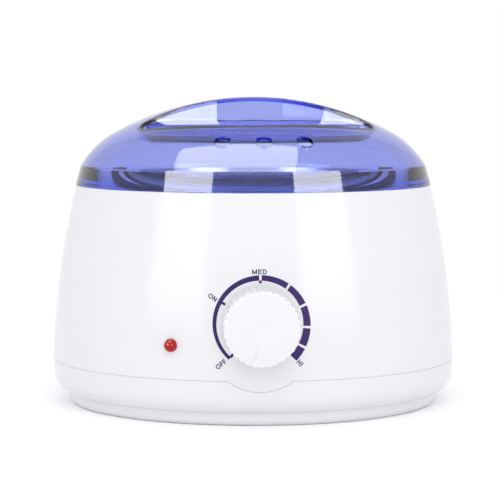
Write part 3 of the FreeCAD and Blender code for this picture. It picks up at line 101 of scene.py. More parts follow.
class BodySizes(bpy.types.PropertyGroup):
    """The curve of the housing's side, which the print follows."""

    belt_radius: length("Belt radius", "Widest radius, at the seam", 92.2 * MM)
    seam_height: length("Seam height", "Lower edge of the housing", 20.3 * MM)
    belly_radius: length("Belly radius", "Where the two side curves meet", 91.85 * MM)
    belly_height: length("Belly height", "Height of that place", 31.0 * MM)
    rim_radius: length("Rim radius", "Outer edge of the rim", 81.4 * MM)
    rim_height: length("Rim height", "Height of the rim", 99.35 * MM)


class DialSizes(bpy.types.PropertyGroup):
    """The printed scale round the knob."""

    height: length("Dial height", "Height of the knob's axis", 44.3 * MM)
    start_radius: length("Start radius", "Outer radius of the ring at OFF", 20.0 * MM)
    end_radius: length("End radius", "Outer radius of the ring at HI", 21.6 * MM)
    start_width: length("Start width", "Width of the ring at OFF", 1.4 * MM)
    end_width: length("End width", "Width of the ring at HI", 3.6 * MM)
    start_angle: angle("Start", "Where the ring begins, at OFF", 227.6)
    end_angle: angle("End", "Where the ring ends, at HI", -45.5)
    gap: length("Gap", "Width of the breaks in the ring", 1.1 * MM)
    tick_width: length("Tick width", "Width of the ticks inside the ring", 1.1 * MM)
    tick_length: length("Tick length", "How far the ticks reach inwards", 1.6 * MM)
    letter_height: length("Letter height", "Height of the capitals", 2.1 * MM)
    letter_weight: length("Letter weight", "Width of a capital's strokes", 0.41 * MM)
    ink: length("Ink", "Height of the print over the plastic", 0.03 * MM)


class KnobSizes(bpy.types.PropertyGroup):
    """The hollow ribbed knob; distances are taken from the pot's axis, out along the dial's."""

    radius: length("Knob radius", "Over its ribs", 16.2 * MM)
    rib_arc: length("Rib arc", "Radius of one rib's rounding", 2.0 * MM)
    back: length("Back", "Distance of the skirt's edge", 92.75 * MM)
    front: length("Front", "Distance of the face at its edge", 108.75 * MM)
    edge: length("Edge", "Rounding of the face's edge", 0.7 * MM)
    dome: length("Dome", "Rise of the face at its middle", 0.8 * MM)
    dimple_radius: length("Dimple radius", "Dished middle of the face", 4.5 * MM)
    dimple_depth: length("Dimple depth", "Its depth", 0.6 * MM)
    pointer_start: length("Pointer start", "Inner end of the raised line", 6.2 * MM)
    pointer_end: length("Pointer end", "Outer end of the raised line", 13.2 * MM)
    pointer_half: length("Pointer half", "Half the width of the raised line", 0.45 * MM)
    pointer_slope: length("Pointer slope", "Width of its sloped sides", 0.3 * MM)
    pointer_rise: length("Pointer rise", "Height of the raised line", 0.42 * MM)
    pointer_angle: angle("Pointer angle", "Direction of the line at OFF", -104.5)
    wall: length("Knob wall", "Thickness of skirt and face", 2.0 * MM)
    hub_radius: length("Hub radius", "Hub round the shaft", 5.5 * MM)
    hub_end: length("Hub end", "Distance of the hub's end", 94.25 * MM)
    bore_radius: length("Bore radius", "Bore for the shaft", 3.03 * MM)
    bore_flat: length("Bore flat", "From the axis to the bore's flat", 1.63 * MM)
    bore_end: length("Bore end", "Distance of the bore's end", 104.77 * MM)


class LensSizes(bpy.types.PropertyGroup):
    """The lamp's lens; distances are taken from the pot's axis, out along the lamp's."""

    height: length("Lamp height", "Height of its axis", 34.9 * MM)
    turn: angle("Lamp angle", "From the dial, seen from above, anticlockwise", -24.4)
    seat: length("Seat", "Distance of the flange's back", 91.88 * MM)
    flange: length("Flange", "Thickness of the flange", 0.35 * MM)
    flange_radius: length("Flange radius", "Its radius", 2.85 * MM)
    ball_radius: length("Ball radius", "Radius of the domed front", 2.6 * MM)
    ball_middle: length("Ball middle", "From the flange's front to the dome's centre", 0.5 * MM)
    stem_radius: length("Stem radius", "Stem through the wall", 2.3 * MM)
    stem_length: length("Stem length", "Length of the stem behind the flange", 8.0 * MM)
    bore_radius: length("Lens bore", "Hollow of the stem, for the bulb", 1.7 * MM)


class Colours(bpy.types.PropertyGroup):
    """Base colours of the finishes, linear."""

    white: colour("White plastic", "Housing and base", (0.86, 0.86, 0.873))
    knob_white: colour("Knob plastic", "Knob", (0.865, 0.865, 0.870))
    lid: colour("Lid tint", "What the lid's faces let through", (0.995, 0.995, 0.995))
    lid_depth: colour("Lid depth", "Hue that deepens with the way through the lid", (0.10, 0.22, 0.90))
    lid_density: amount("Lid density", "How fast that hue deepens, per metre", 300.0)
    print_ink: colour("Print", "Dial print", (0.034, 0.010, 0.128))
    black: colour("Black plastic", "Ears, bail and gland", (0.012, 0.012, 0.014))
    red: colour("Lens red", "Lamp lens", (0.60, 0.001, 0.002))


class StageSizes(bpy.types.PropertyGroup):
    """Table, lamps and camera."""

    floor_radius: length("Table radius", "Radius of the round table top", 0.9)
    floor_white: colour("Table white", "Colour of the table top", (0.96, 0.96, 0.965))
    floor_glow: amount("Table glow", "Light of its own that lifts its shadows, where 1 is white", 0.12)
    world_tint: colour("World tint", "Colour of the even light from all round", (0.97, 0.97, 1.0))
    world_light: amount("World light", "Strength of that light", 0.94)
    key_power: amount("Key power", "Power of the large soft lamp over the camera in watts", 2.95)
    key_size: length("Key size", "Side of that lamp", 0.9)
    key_place: location("Key place", "Where it hangs", (0.0, -1.1, 0.75))
    key_target: location("Key target", "Where it points", (0.0, 0.0, 0.05))
    box_glow: amount("Box brightness", "Brightness of a side softbox in gloss, where 1 is white", 12.0)
    foot_glow: amount("Foot brightness", "Brightness of its dimmer foot", 7.7)
    box_distance: length("Side box distance", "From the heater's axis", 0.95)
    box_angle: angle("Side box angle", "To each side of the camera", 43.0)
    box_width: length("Side box width", "Width of a side softbox", 0.56)
    box_low: length("Side box foot", "Height of its lower edge", 0.11)
    box_foot: length("Side box foot's top", "Height where the dimmer foot ends", 0.165)
    box_high: length("Side box top", "Height of its upper edge", 0.74)
    top_glow: amount("Top brightness", "Brightness of the overhead softbox in gloss", 5.0)
    top_place: location("Top place", "Where the overhead softbox hangs", (-0.083, -0.080, 0.60))
    top_tilt: angle("Top tilt", "How far its front edge hangs below level", 45.0)
    top_turn: angle("Top turn", "How far it is turned clockwise, seen from above", 5.7)
    top_width: length("Top box width", "Overhead softbox from left to right", 0.50)
    top_depth: length("Top box depth", "Overhead softbox from front to back", 0.47)
    camera_distance: length("Camera distance", "Level distance from the axis", 1.0268)
    camera_height: length("Camera height", "Height of the camera", 0.15018)
    camera_pitch: angle("Camera pitch", "Down from level", 4.53)
    camera_turn: angle("Camera turn", "To the left of the dial, seen from the camera", 1.97)
    camera_lens: amount("Camera lens", "Focal length on a 36 mm sensor", 160.5)
    camera_shift: amount("Camera shift", "Share of the frame from its middle to the axis", 0.0064)


SIZE_GROUPS = {
    "wax_body": BodySizes,
    "wax_dial": DialSizes,
    "wax_knob": KnobSizes,
    "wax_lens": LensSizes,
    "wax_colours": Colours,
    "wax_stage": StageSizes,
}


# ---------------------------------------------------------------- surfaces

MERGE_DISTANCE = 0.002 * MM  # points nearer to each other than this are one
LEAST_EDGE = 0.001 * MM  # shorter edges are taken out
ROUND_COLUMNS = 96  # columns of points round a plain turned surface


def full_turn(columns):
    """Angles round a whole turn, as one row."""
    return np.linspace(0, 2 * math.pi, columns, endpoint=False)[None, :]


def grid_faces(rows, columns, closed):
    """Quads of a rows x columns grid of points; closed joins the last column to the first."""
    row = np.arange(rows - 1)[:, None] * columns
    column = np.arange(columns if closed else columns - 1)[None, :]
    right = (column + 1) % columns
    quads = (row + column, row + right, row + columns + right, row + columns + column)
    return np.stack(np.broadcast_arrays(*quads), -1).reshape(-1, 4)


def mesh_from(name, patches, sharp=40):
    """A smooth mesh from patches of (points, faces): doubles merged and faces turned outward.

    Edges where it turns by more than sharp, in degrees, stay crisp.
    """
    points, faces, count = [], [], 0
    for patch, quads in patches:
        flat = patch.reshape(-1, 3)
        points.append(flat)
        faces.append(quads + count)
        count += len(flat)
    mesh = bpy.data.meshes.new(name)
    mesh.from_pydata(np.concatenate(points).tolist(), [], np.concatenate(faces).tolist())
    shape = bmesh.new()
    shape.from_mesh(mesh)
    bmesh.ops.remove_doubles(shape, verts=shape.verts, dist=MERGE_DISTANCE)
    bmesh.ops.dissolve_degenerate(shape, edges=shape.edges, dist=LEAST_EDGE)
    bmesh.ops.recalc_face_normals(shape, faces=shape.faces)
    shape.to_mesh(mesh)
    shape.free()
    mesh.shade_smooth()
    mesh.set_sharp_from_angle(angle=math.radians(sharp))
    return mesh


def add_piece(name, mesh, material, body, slot, *nodes):
    """Put a finished mesh in the scene, riding on a body, in place of the nodes it stands for."""
    piece = bpy.data.objects.new(name, mesh)
    bpy.context.scene.collection.objects.link(piece)
    mesh.materials.append(material)
    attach(piece, body)
    if nodes:
        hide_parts(*nodes)


def tangent_arcs(body):
    """Radii and centres (x, z) of the side's two arcs: upright at the seam, tangent at the belly."""
    drop, rise = body.belt_radius - body.belly_radius, body.belly_height - body.seam_height
    low = (drop * drop + rise * rise) / (2 * drop)
    slope = np.array([drop - low, body.seam_height - body.belly_height]) / low
    run = np.array([body.rim_radius - body.belly_radius, body.rim_height - body.belly_height])
    high = run @ run / (2 * slope @ run)
    centre = np.array([body.belly_radius, body.belly_height]) + slope * high
    return low, np.array([body.belt_radius - low, body.seam_height]), high, centre


def side_radius(body, heights):
    """Radius of the housing's side: centre_x + sqrt(arc^2 - (z - centre_z)^2) on its two arcs."""
    low, low_centre, high, high_centre = tangent_arcs(body)
    below = low_centre[0] + np.sqrt(np.maximum(low**2 - (heights - low_centre[1]) ** 2, 0))
    above = high_centre[0] + np.sqrt(np.maximum(high**2 - (heights - high_centre[1]) ** 2, 0))
    return np.where(heights < body.belly_height, below, above)


def on_side(body, across, heights, lift):
    """Points of the side seen square to the dial: y = -sqrt(r(z)^2 - x^2), raised by lift along r."""
    radius = side_radius(body, heights) + lift
    return np.stack((across, -np.sqrt(radius**2 - across**2), heights), -1)


# ---------------------------------------------------------------- shader groups and materials

GREY = (0.8, 0.8, 0.8, 1)
OUTPUT_KINDS = {
    "Color": "NodeSocketColor",
    "Roughness": "NodeSocketFloat",
    "Normal": "NodeSocketVector",
}


def new_group(name, inputs, outputs):
    """An empty shader node group, with the sockets that it takes from and hands to its materials.

    inputs are defaults by name, of four numbers for a colour; outputs are names.
    """
    tree = bpy.data.node_groups.new(name, "ShaderNodeTree")
    for title, default in inputs.items():
        kind = "NodeSocketColor" if isinstance(default, tuple) else "NodeSocketFloat"
        socket = tree.interface.new_socket(title, in_out="INPUT", socket_type=kind)
        socket.default_value = default
    for title in outputs:
        tree.interface.new_socket(title, in_out="OUTPUT", socket_type=OUTPUT_KINDS[title])
    return tree, tree.nodes.new("NodeGroupInput").outputs, tree.nodes.new("NodeGroupOutput").inputs


def feed(tree, socket, value):
    """Link a socket to the output of another node, or give it a plain value."""
    if isinstance(value, bpy.types.NodeSocket):
        tree.links.new(value, socket)
    else:
        socket.default_value = value


def node(tree, kind, *first, **values):
    """Add a node: values feed its settings and sockets by name, first feeds its sockets in order.

    A setting stands before the sockets that it brings out.
    """
    made = tree.nodes.new(kind)
    for key, value in values.items():
        title = key.replace("_", " ").title()
        if title in made.inputs:
            feed(tree, made.inputs[title], value)
        else:
            setattr(made, key, value)
    for socket, value in zip(made.inputs, first):
        feed(tree, socket, value)
    return made


def object_place(tree):
    """A point's place in its object."""
    return node(tree, "ShaderNodeTexCoord").outputs["Object"]


def maths(tree, operation, *values):
    """The result of an operation on values."""
    return node(tree, "ShaderNodeMath", *values, operation=operation).outputs[0]


def noise(tree, place, scale, detail):
    """Noise at a place, from 0 to 1."""
    return node(tree, "ShaderNodeTexNoise", place, scale=scale, detail=detail).outputs[0]


def scaled(tree, tint, factor):
    """A colour times a value."""
    return node(tree, "ShaderNodeVectorMath", tint, operation="SCALE", scale=factor).outputs[0]


def bump(tree, height, strength, distance, **under):
    """The normal over a height; under gives the normal that it starts from."""
    return node(
        tree, "ShaderNodeBump", height=height, strength=strength, distance=distance, **under
    ).outputs[0]


def hand_out(tree, result, **sources):
    """Feed the outputs of a group by name."""
    for title, source in sources.items():
        tree.links.new(source, result[title])


def moulded_group():
    """Moulded plastic: soft waves in the surface, haze in the gloss and faint flow in the colour."""
    tree, given, result = new_group(
        "moulded_plastic",
        {"Color": GREY, "Shade": 0.03, "Roughness": 0.15, "Haze": 0.05,
         "Wave Size": 40.0, "Wave Height": 0.02, "Grain Height": 0.0},
        ("Color", "Roughness", "Normal"),
    )
    place = object_place(tree)
    flow = noise(tree, place, scale=55.0, detail=3.0)
    kept = maths(tree, "SUBTRACT", 1.0, maths(tree, "MULTIPLY", flow, given["Shade"]))
    haze = noise(tree, place, scale=260.0, detail=4.0)
    wave = noise(tree, place, scale=given["Wave Size"], detail=1.0)
    grain = noise(tree, place, scale=2600.0, detail=2.0)
    soft = bump(tree, wave, given["Wave Height"], distance=1.0 * MM)
    hand_out(
        tree,
        result,
        Color=scaled(tree, given["Color"], kept),
        Roughness=maths(tree, "MULTIPLY_ADD", haze, given["Haze"], given["Roughness"]),
        Normal=bump(tree, grain, given["Grain Height"], distance=0.05 * MM, normal=soft),
    )


def turned_group():
    """Spun metal: fine rings about the upright axis, broken by streaks, in gloss and in height."""
    tree, given, result = new_group(
        "turned_metal",
        {"Color": GREY, "Roughness": 0.25, "Streak": 0.15, "Ring Size": 900.0,
         "Ring Height": 0.2},
        ("Color", "Roughness", "Normal"),
    )
    place = object_place(tree)
    across, ahead, up = node(tree, "ShaderNodeSeparateXYZ", place).outputs
    flat = node(tree, "ShaderNodeCombineXYZ", across, ahead).outputs[0]
    reach = node(tree, "ShaderNodeVectorMath", flat, operation="LENGTH").outputs["Value"]
    rings = node(tree, "ShaderNodeCombineXYZ", reach, up).outputs[0]
    lines = noise(tree, rings, scale=given["Ring Size"], detail=3.0)
    patches = noise(tree, place, scale=45.0, detail=4.0)
    streaks = maths(tree, "MULTIPLY", lines, patches)
    kept = node(
        tree, "ShaderNodeMapRange", value=patches, from_min=0.3, from_max=0.7, to_min=0.88
    ).outputs[0]
    hand_out(
        tree,
        result,
        Color=scaled(tree, given["Color"], kept),
        Roughness=maths(tree, "MULTIPLY_ADD", streaks, given["Streak"], given["Roughness"]),
        Normal=bump(tree, lines, given["Ring Height"], distance=0.02 * MM),
    )


def speckle_group():
    """Pressed or baked stuff: fine specks of a second colour, and a pitted surface."""
    tree, given, result = new_group(
        "speckled",
        {"Color": GREY, "Speck": (0.3, 0.3, 0.3, 1), "Share": 0.3, "Size": 900.0,
         "Pitting": 0.3},
        ("Color", "Normal"),
    )
    specks = noise(tree, object_place(tree), scale=given["Size"], detail=5.0)
    mask = node(
        tree, "ShaderNodeMapRange", value=specks, to_max=given["Share"], from_min=0.5, from_max=0.72
    ).outputs[0]
    mixed = node(
        tree, "ShaderNodeMix", data_type="RGBA", factor=mask, a=given["Color"], b=given["Speck"]
    )
    hand_out(
        tree,
        result,
        Color=mixed.outputs["Result"],
        Normal=bump(tree, specks, given["Pitting"], distance=0.05 * MM),
    )


def emptied(holder):
    """The node tree of a material or a world, with nothing in it."""
    holder.use_nodes = True
    holder.node_tree.nodes.clear()
    return holder.node_tree


def opaque(rgb):
    """A colour with its alpha of one."""
    return (*rgb, 1.0)


def shaded(name, group, settings, depth=None, **shader):
    """A material whose group feeds the shader's colour, gloss and normal; shader sets its own sockets.

    depth is the colour and the density, per metre, of what the stuff itself takes out of the light.
    """
    tree = emptied(bpy.data.materials.get(name) or bpy.data.materials.new(name))
    out = node(tree, "ShaderNodeOutputMaterial")
    principled = node(tree, "ShaderNodeBsdfPrincipled")
    for title, value in shader.items():
        principled.inputs[title.replace("_", " ")].default_value = value
    effect = node(tree, "ShaderNodeGroup", node_tree=bpy.data.node_groups[group])
    for title, value in settings.items():
        effect.inputs[title].default_value = value
    for given, taken in (("Color", "Base Color"), ("Roughness", "Roughness"), ("Normal", "Normal")):
        if given in effect.outputs:
            tree.links.new(effect.outputs[given], principled.inputs[taken])
    tree.links.new(principled.outputs[0], out.inputs["Surface"])
    if depth:
        stuff = node(tree, "ShaderNodeVolumeAbsorption", color=opaque(depth[0]), density=depth[1])
        tree.links.new(stuff.outputs[0], out.inputs["Volume"])


def build_materials(colours):
    """A material for each slot of the record, under the slot's own name, and one for the dial's ink."""
    moulded_group()
    turned_group()
    speckle_group()
    plastic, metal, speckled = "moulded_plastic", "turned_metal", "speckled"
    shaded(
        "white_body", plastic,
        {"Color": opaque(colours.white), "Shade": 0.012, "Roughness": 0.12, "Haze": 0.05,
         "Wave Size": 22.0, "Wave Height": 0.05},
        Specular_IOR_Level=0.07,
    )
    shaded(
        "white_knob", plastic,
        {"Color": opaque(colours.knob_white), "Shade": 0.012, "Roughness": 0.16, "Haze": 0.06,
         "Wave Size": 60.0, "Wave Height": 0.03},
        Specular_IOR_Level=0.26,
    )
    shaded(
        "blue_lid", plastic,
        {"Color": opaque(colours.lid), "Shade": 0.05, "Roughness": 0.0, "Haze": 0.02,
         "Wave Size": 30.0, "Wave Height": 0.04},
        depth=(colours.lid_depth, colours.lid_density), Transmission_Weight=1.0, IOR=1.49,
    )
    shaded(
        "dial_print", plastic,
        {"Color": opaque(colours.print_ink), "Shade": 0.15, "Roughness": 0.45, "Haze": 0.10,
         "Grain Height": 0.05},
        Specular_IOR_Level=0.15,
    )
    shaded(
        "black_plastic", plastic,
        {"Color": opaque(colours.black), "Shade": 0.2, "Roughness": 0.35, "Haze": 0.12,
         "Grain Height": 0.35},
    )
    shaded(
        "red_lens", plastic,
        {"Color": opaque(colours.red), "Shade": 0.05, "Roughness": 0.02, "Haze": 0.04},
        Transmission_Weight=0.35, IOR=1.49, Specular_IOR_Level=0.3,
    )
    shaded(
        "bulb_glass", plastic,
        {"Color": (0.95, 0.80, 0.70, 1), "Shade": 0.02, "Roughness": 0.02, "Haze": 0.02},
        Transmission_Weight=0.9, IOR=1.5,
    )
    shaded(
        "rubber", plastic,
        {"Color": (0.035, 0.035, 0.037, 1), "Shade": 0.25, "Roughness": 0.62, "Haze": 0.15,
         "Grain Height": 0.6},
    )
    shaded(
        "silicone", plastic,
        {"Color": (0.17, 0.022, 0.012, 1), "Shade": 0.15, "Roughness": 0.45, "Haze": 0.15,
         "Grain Height": 0.3},
    )
    shaded(
        "aluminium", metal,
        {"Color": (0.57, 0.57, 0.585, 1), "Roughness": 0.22, "Streak": 0.20, "Ring Size": 1800.0,
         "Ring Height": 0.18},
        Metallic=1.0,
    )
    shaded(
        "steel", metal,
        {"Color": (0.60, 0.60, 0.62, 1), "Roughness": 0.28, "Streak": 0.30, "Ring Size": 2200.0,
         "Ring Height": 0.2},
        Metallic=1.0,
    )
    shaded(
        "brass", metal,
        {"Color": (0.72, 0.48, 0.18, 1), "Roughness": 0.24, "Streak": 0.25, "Ring Size": 2200.0,
         "Ring Height": 0.2},
        Metallic=1.0,
    )
    shaded(
        "ceramic", speckled,
        {"Color": (0.72, 0.68, 0.58, 1), "Speck": (0.45, 0.40, 0.30, 1), "Share": 0.4, "Size": 700.0},
        Roughness=0.55,
    )
    shaded(
        "mica", speckled,
        {"Color": (0.30, 0.21, 0.10, 1), "Speck": (0.55, 0.45, 0.25, 1), "Share": 0.7, "Size": 300.0},
        Roughness=0.35,
    )


def ensure_materials(context):
    """The materials, built once."""
    if "moulded_plastic" not in bpy.data.node_groups:
        build_materials(context.scene.wax_colours)
    return bpy.data.materials


# ---------------------------------------------------------------- dial print

RING_BREAKS = (90.0, 53.4, 23.4, -3.6, -27.5)  # angles of the gaps in the ring
RING_TICKS = (227.0, 150.6)  # angles of the ticks inside it
WIDENING = 1.3  # power of the sweep's share that the ring's width follows
RING_STEP = 0.02  # radians between two columns of points
RING_ROWS = 5  # rows of points across the ring
LEAST_COLUMNS = 4  # in the shortest stretch of the ring
TICK_COLUMNS = 5
TICK_ROWS = 4
TICK_OVERLAP = 0.1 * MM  # how far a tick runs into the ring
BOWL_POINTS = 13  # on half an ellipse of a letter
# Each word, its angle on the dial, its middle's distance from the axis, its turn from upright and the
# space between its letters.
LABELS = (
    ("OFF", 225.0, 23.7 * MM, 40.0, 0.26 * MM),
    ("ON", 150.7, 23.2 * MM, -36.0, 0.30 * MM),
    ("MED", 91.0, 22.2 * MM, 0.0, 0.46 * MM),
    ("HI", -44.3, 23.4 * MM, -46.0, 0.40 * MM),
)


def ring_band(dial, turn):
    """Outer and inner radius of the ring at an angle: both widen from OFF to HI."""
    share = (dial.start_angle - turn) / (dial.start_angle - dial.end_angle)
    outer = dial.start_radius + (dial.end_radius - dial.start_radius) * share
    width = dial.start_width + (dial.end_width - dial.start_width) * share**WIDENING
    return outer, outer - width


def slab(body, across, heights, ink, loop=False):
    """Thin solid over a grid of dial points: its face on the ink's top, its back in the plastic.

    loop joins the grid's last column to its first; otherwise all four edges get a wall.
    """
    front, back = on_side(body, across, heights, ink), on_side(body, across, heights, -ink)
    faces = grid_faces(*across.shape, loop)
    patches = [(front, faces), (back, faces[:, ::-1])]
    for edge in (np.s_[0], np.s_[-1]) if loop else (np.s_[0], np.s_[-1], np.s_[:, 0], np.s_[:, -1]):
        strip = np.stack((front[edge], back[edge]))
        patches.append((strip, grid_faces(2, strip.shape[1], loop)))
    return patches


def ring_pieces(body, dial):
    """The ring's stretches between its breaks, as x = r cos a, z = height + r sin a."""
    half = dial.gap / 2 / dial.end_radius
    ends = [dial.start_angle]
    for at in RING_BREAKS:
        ends += [math.radians(at) + half, math.radians(at) - half]
    ends.append(dial.end_angle)
    patches = []
    for start, stop in zip(ends[::2], ends[1::2]):
        columns = max(LEAST_COLUMNS, int(abs(start - stop) / RING_STEP))
        turn = np.linspace(start, stop, columns)[None, :]
        outer, inner = ring_band(dial, turn)
        radius = inner + (outer - inner) * np.linspace(0, 1, RING_ROWS)[:, None]
        patches += slab(body, radius * np.cos(turn), dial.height + radius * np.sin(turn), dial.ink)
    return patches


def tick_pieces(body, dial):
    """Short ticks inside the ring at OFF and ON, and the square dot under the break at MED."""
    reaches = {at: dial.tick_length for at in RING_TICKS}
    reaches[RING_BREAKS[0]] = dial.tick_width
    patches = []
    for at, reach in reaches.items():
        turn = math.radians(at)
        _, inner = ring_band(dial, turn)
        along = np.linspace(inner - reach, inner + TICK_OVERLAP, TICK_COLUMNS)[None, :]
        side = np.linspace(-dial.tick_width / 2, dial.tick_width / 2, TICK_ROWS)[:, None]
        across = along * math.cos(turn) - side * math.sin(turn)
        heights = dial.height + along * math.sin(turn) + side * math.cos(turn)
        patches += slab(body, across, heights, dial.ink)
    return patches


def bowl(left, right):
    """Right half of an ellipse, from top to foot: x = left + width sin t, y = (1 + cos t) / 2."""
    turn = np.linspace(0, math.pi, BOWL_POINTS)
    return np.stack((left + (right - left) * np.sin(turn), (1 + np.cos(turn)) / 2), -1)


def ring_letter(width):
    """A whole ellipse, from its top round to its top again."""
    right = bowl(width / 2, width)
    return np.concatenate((right, ((width, 1) - right)[1:]))


# Each capital's width and the strokes of its middle line, where its height is 1.
CAPITALS = {
    "D": (0.80, (((0, 0), (0, 1)), ((0, 1), *bowl(0.30, 0.80), (0, 0)))),
    "E": (
        0.62,
        (((0, 0), (0, 1)), ((0, 1), (0.62, 1)), ((0, 0.51), (0.56, 0.51)), ((0, 0), (0.62, 0))),
    ),
    "F": (0.50, (((0, 0), (0, 1)), ((0, 1), (0.50, 1)), ((0, 0.49), (0.44, 0.49)))),
    "H": (0.70, (((0, 0), (0, 1)), ((0.70, 0), (0.70, 1)), ((0, 0.51), (0.70, 0.51)))),
    "I": (0.0, (((0, 0), (0, 1)),)),
    "M": (1.0, (((0, 0), (0, 1)), ((0, 1), (0.5, 0.06)), ((0.5, 0.06), (1, 1)), ((1, 1), (1, 0)))),
    "N": (0.70, (((0, 0), (0, 1)), ((0, 1), (0.70, 0)), ((0.70, 0), (0.70, 1)))),
    "O": (0.96, (ring_letter(0.96),)),
}
END_REACH = 0.47  # of the weight, beyond each open end of a stroke


def stroke(points, weight):
    """A ribbon along a run of points, and whether it is a loop.

    Its sides lie half the weight off the run, square to its direction. Open ends reach nearly as far,
    so that no two strokes share a corner.
    """
    points = np.array(points, float)
    along = np.gradient(points, axis=0)
    along /= np.linalg.norm(along, axis=1)[:, None]
    loop = np.allclose(points[0], points[-1])
    if loop:
        points, along = points[:-1], along[:-1]
        along[0] = (1, 0)
    else:
        points[0] -= along[0] * weight * END_REACH
        points[-1] += along[-1] * weight * END_REACH
    side = np.stack((-along[:, 1], along[:, 0]), -1) * weight / 2
    return np.stack((points - side, points, points + side)), loop


def word_strokes(dial, text, gap):
    """The ribbons of a word, centred on its own middle, in metres."""
    height = dial.letter_height - dial.letter_weight
    starts, width = [], 0.0
    for letter in text:
        starts.append(width)
        width += CAPITALS[letter][0] * height + dial.letter_weight + gap
    middle = np.array((width - dial.letter_weight - gap, height)) / 2
    return [
        stroke(np.array(run) * height + (start, 0) - middle, dial.letter_weight)
        for letter, start in zip(text, starts)
        for run in CAPITALS[letter][1]
    ]


def label(body, dial, text, at, reach, turn, gap):
    """A word laid on the side at an angle and a distance from the dial's axis, turned from upright."""
    at, turn = math.radians(at), math.radians(turn)
    patches = []
    for ribbon, loop in word_strokes(dial, text, gap):
        right, up = ribbon[..., 0], ribbon[..., 1]
        across = reach * math.cos(at) + right * math.cos(turn) - up * math.sin(turn)
        heights = dial.height + reach * math.sin(at) + right * math.sin(turn) + up * math.cos(turn)
        patches += slab(body, across, heights, dial.ink, loop)
    return patches


class WAXHEATER_OT_dial_print(bpy.types.Operator):
    """Print the scale and its words on the housing round the knob"""

    bl_idname = "waxheater.dial_print"
    bl_label = "Dial Print"

    def execute(self, context):
        body, dial = context.scene.wax_body, context.scene.wax_dial
        prints = {"dial_ring": ring_pieces(body, dial), "dial_ticks": tick_pieces(body, dial)}
        for text, *laid in LABELS:
            prints[f"dial_word_{text.lower()}"] = label(body, dial, text, *laid)
        ink = ensure_materials(context)["dial_print"]
        for name, patches in prints.items():
            add_piece(name, mesh_from(name, patches, sharp=30), ink, "root", "white_body")
        return {"FINISHED"}


# ---------------------------------------------------------------- knob

KNOB_RIBS = 32
RIB_COLUMNS = 12  # columns of points over one rib
RIB_START = 0.78  # share of the knob's radius where the ribs begin to rise out of the face
RIB_RUN = 0.16  # share of it over which they reach their full depth
RIB_ALLOWANCE = 0.2 * MM  # the wall is measured from this far under the ribs' tops
BORE_LEAD = 0.47 * MM  # length of the bore's round mouth, before its flat
BORE_STEP = 0.02 * MM  # length over which the flat comes in
DIMPLE_ROWS, FACE_ROWS, EDGE_ROWS, SKIRT_ROWS = 8, 31, 7, 6  # rows of points, from the middle out
LEAST_SINE = 0.01  # keeps the flat's distance finite away from the flat


def ease(value):
    """3 t^2 - 2 t^3 of a value held between 0 and 1."""
    held = np.clip(value, 0, 1)
    return held * held * (3 - 2 * held)


def rib_outline(knob, turn):
    """Radius over the ribs: m cos f + sqrt(a^2 - m^2 sin^2 f), at an angle f off a rib's middle."""
    half = math.pi / KNOB_RIBS
    off = (turn + half) % (2 * half) - half
    middle = knob.radius - knob.rib_arc
    return middle * np.cos(off) + np.sqrt(knob.rib_arc**2 - (middle * np.sin(off)) ** 2)


def pointer_height(knob, radius, turn):
    """The raised line on the face: its rise within its width and length, eased at every edge."""
    along = radius * np.cos(turn - knob.pointer_angle)
    off = np.abs(radius * np.sin(turn - knob.pointer_angle))
    soft = knob.pointer_slope
    within = ease((knob.pointer_half - off) / soft)
    begun = ease((along - knob.pointer_start) / soft)
    ending = ease((knob.pointer_end - along) / soft)
    return knob.pointer_rise * within * begun * ending


def knob_face(knob, turn):
    """The face out to its rounded edge: front + dome (1 - r^2 / f^2) - dimple + pointer."""
    flat = knob.radius - knob.edge
    dimple = knob.dimple_radius
    middle = np.linspace(0, dimple, DIMPLE_ROWS)
    radius = np.concatenate((middle, np.linspace(dimple, flat, FACE_ROWS)[1:]))[:, None]
    dish = knob.dimple_depth * np.maximum(1 - (radius / dimple) ** 2, 0)
    out = knob.front + knob.dome * (1 - (radius / flat) ** 2) - dish
    bend = np.linspace(0, math.pi / 2, EDGE_ROWS)[1:, None]
    radius = np.concatenate((radius, flat + knob.edge * np.sin(bend)))
    out = np.concatenate((out, knob.front - knob.edge * (1 - np.cos(bend))))
    return radius, out + pointer_height(knob, radius, turn)


def knob_surface(dial, knob):
    """The knob's skin, turned about the dial's axis, from its face's middle to its bore's end."""
    turn = full_turn(KNOB_RIBS * RIB_COLUMNS)
    radius, out = knob_face(knob, turn)
    skirt = np.linspace(knob.front - knob.edge, knob.back, SKIRT_ROWS)[1:]
    radius = np.concatenate((radius, np.full((len(skirt), 1), knob.radius)))
    ribs = rib_outline(knob, turn) / knob.radius - 1
    radius = radius * (1 + ribs * ease((radius / knob.radius - RIB_START) / RIB_RUN))
    inner, under = knob.radius - RIB_ALLOWANCE - knob.wall, knob.front - knob.wall
    bore = np.minimum(knob.bore_radius, knob.bore_flat / np.maximum(np.sin(turn), LEAST_SINE))
    lead = knob.hub_end + BORE_LEAD
    inside = (
        (inner, knob.back),
        (inner, under),
        (knob.hub_radius, under),
        (knob.hub_radius, knob.hub_end),
        (knob.bore_radius, knob.hub_end),
        (knob.bore_radius, lead),
        (bore, lead + BORE_STEP),
        (bore, knob.bore_end),
        (0, knob.bore_end),
    )
    rows = [np.broadcast_to(each, turn.shape) for each, _ in inside]
    depths = [np.full(turn.shape, at) for at in (*skirt, *(at for _, at in inside))]
    radius, out = np.concatenate([radius, *rows]), np.concatenate([out, *depths])
    points = np.stack((radius * np.cos(turn), -out, dial.height + radius * np.sin(turn)), -1)
    return [(points, grid_faces(*radius.shape, True))]


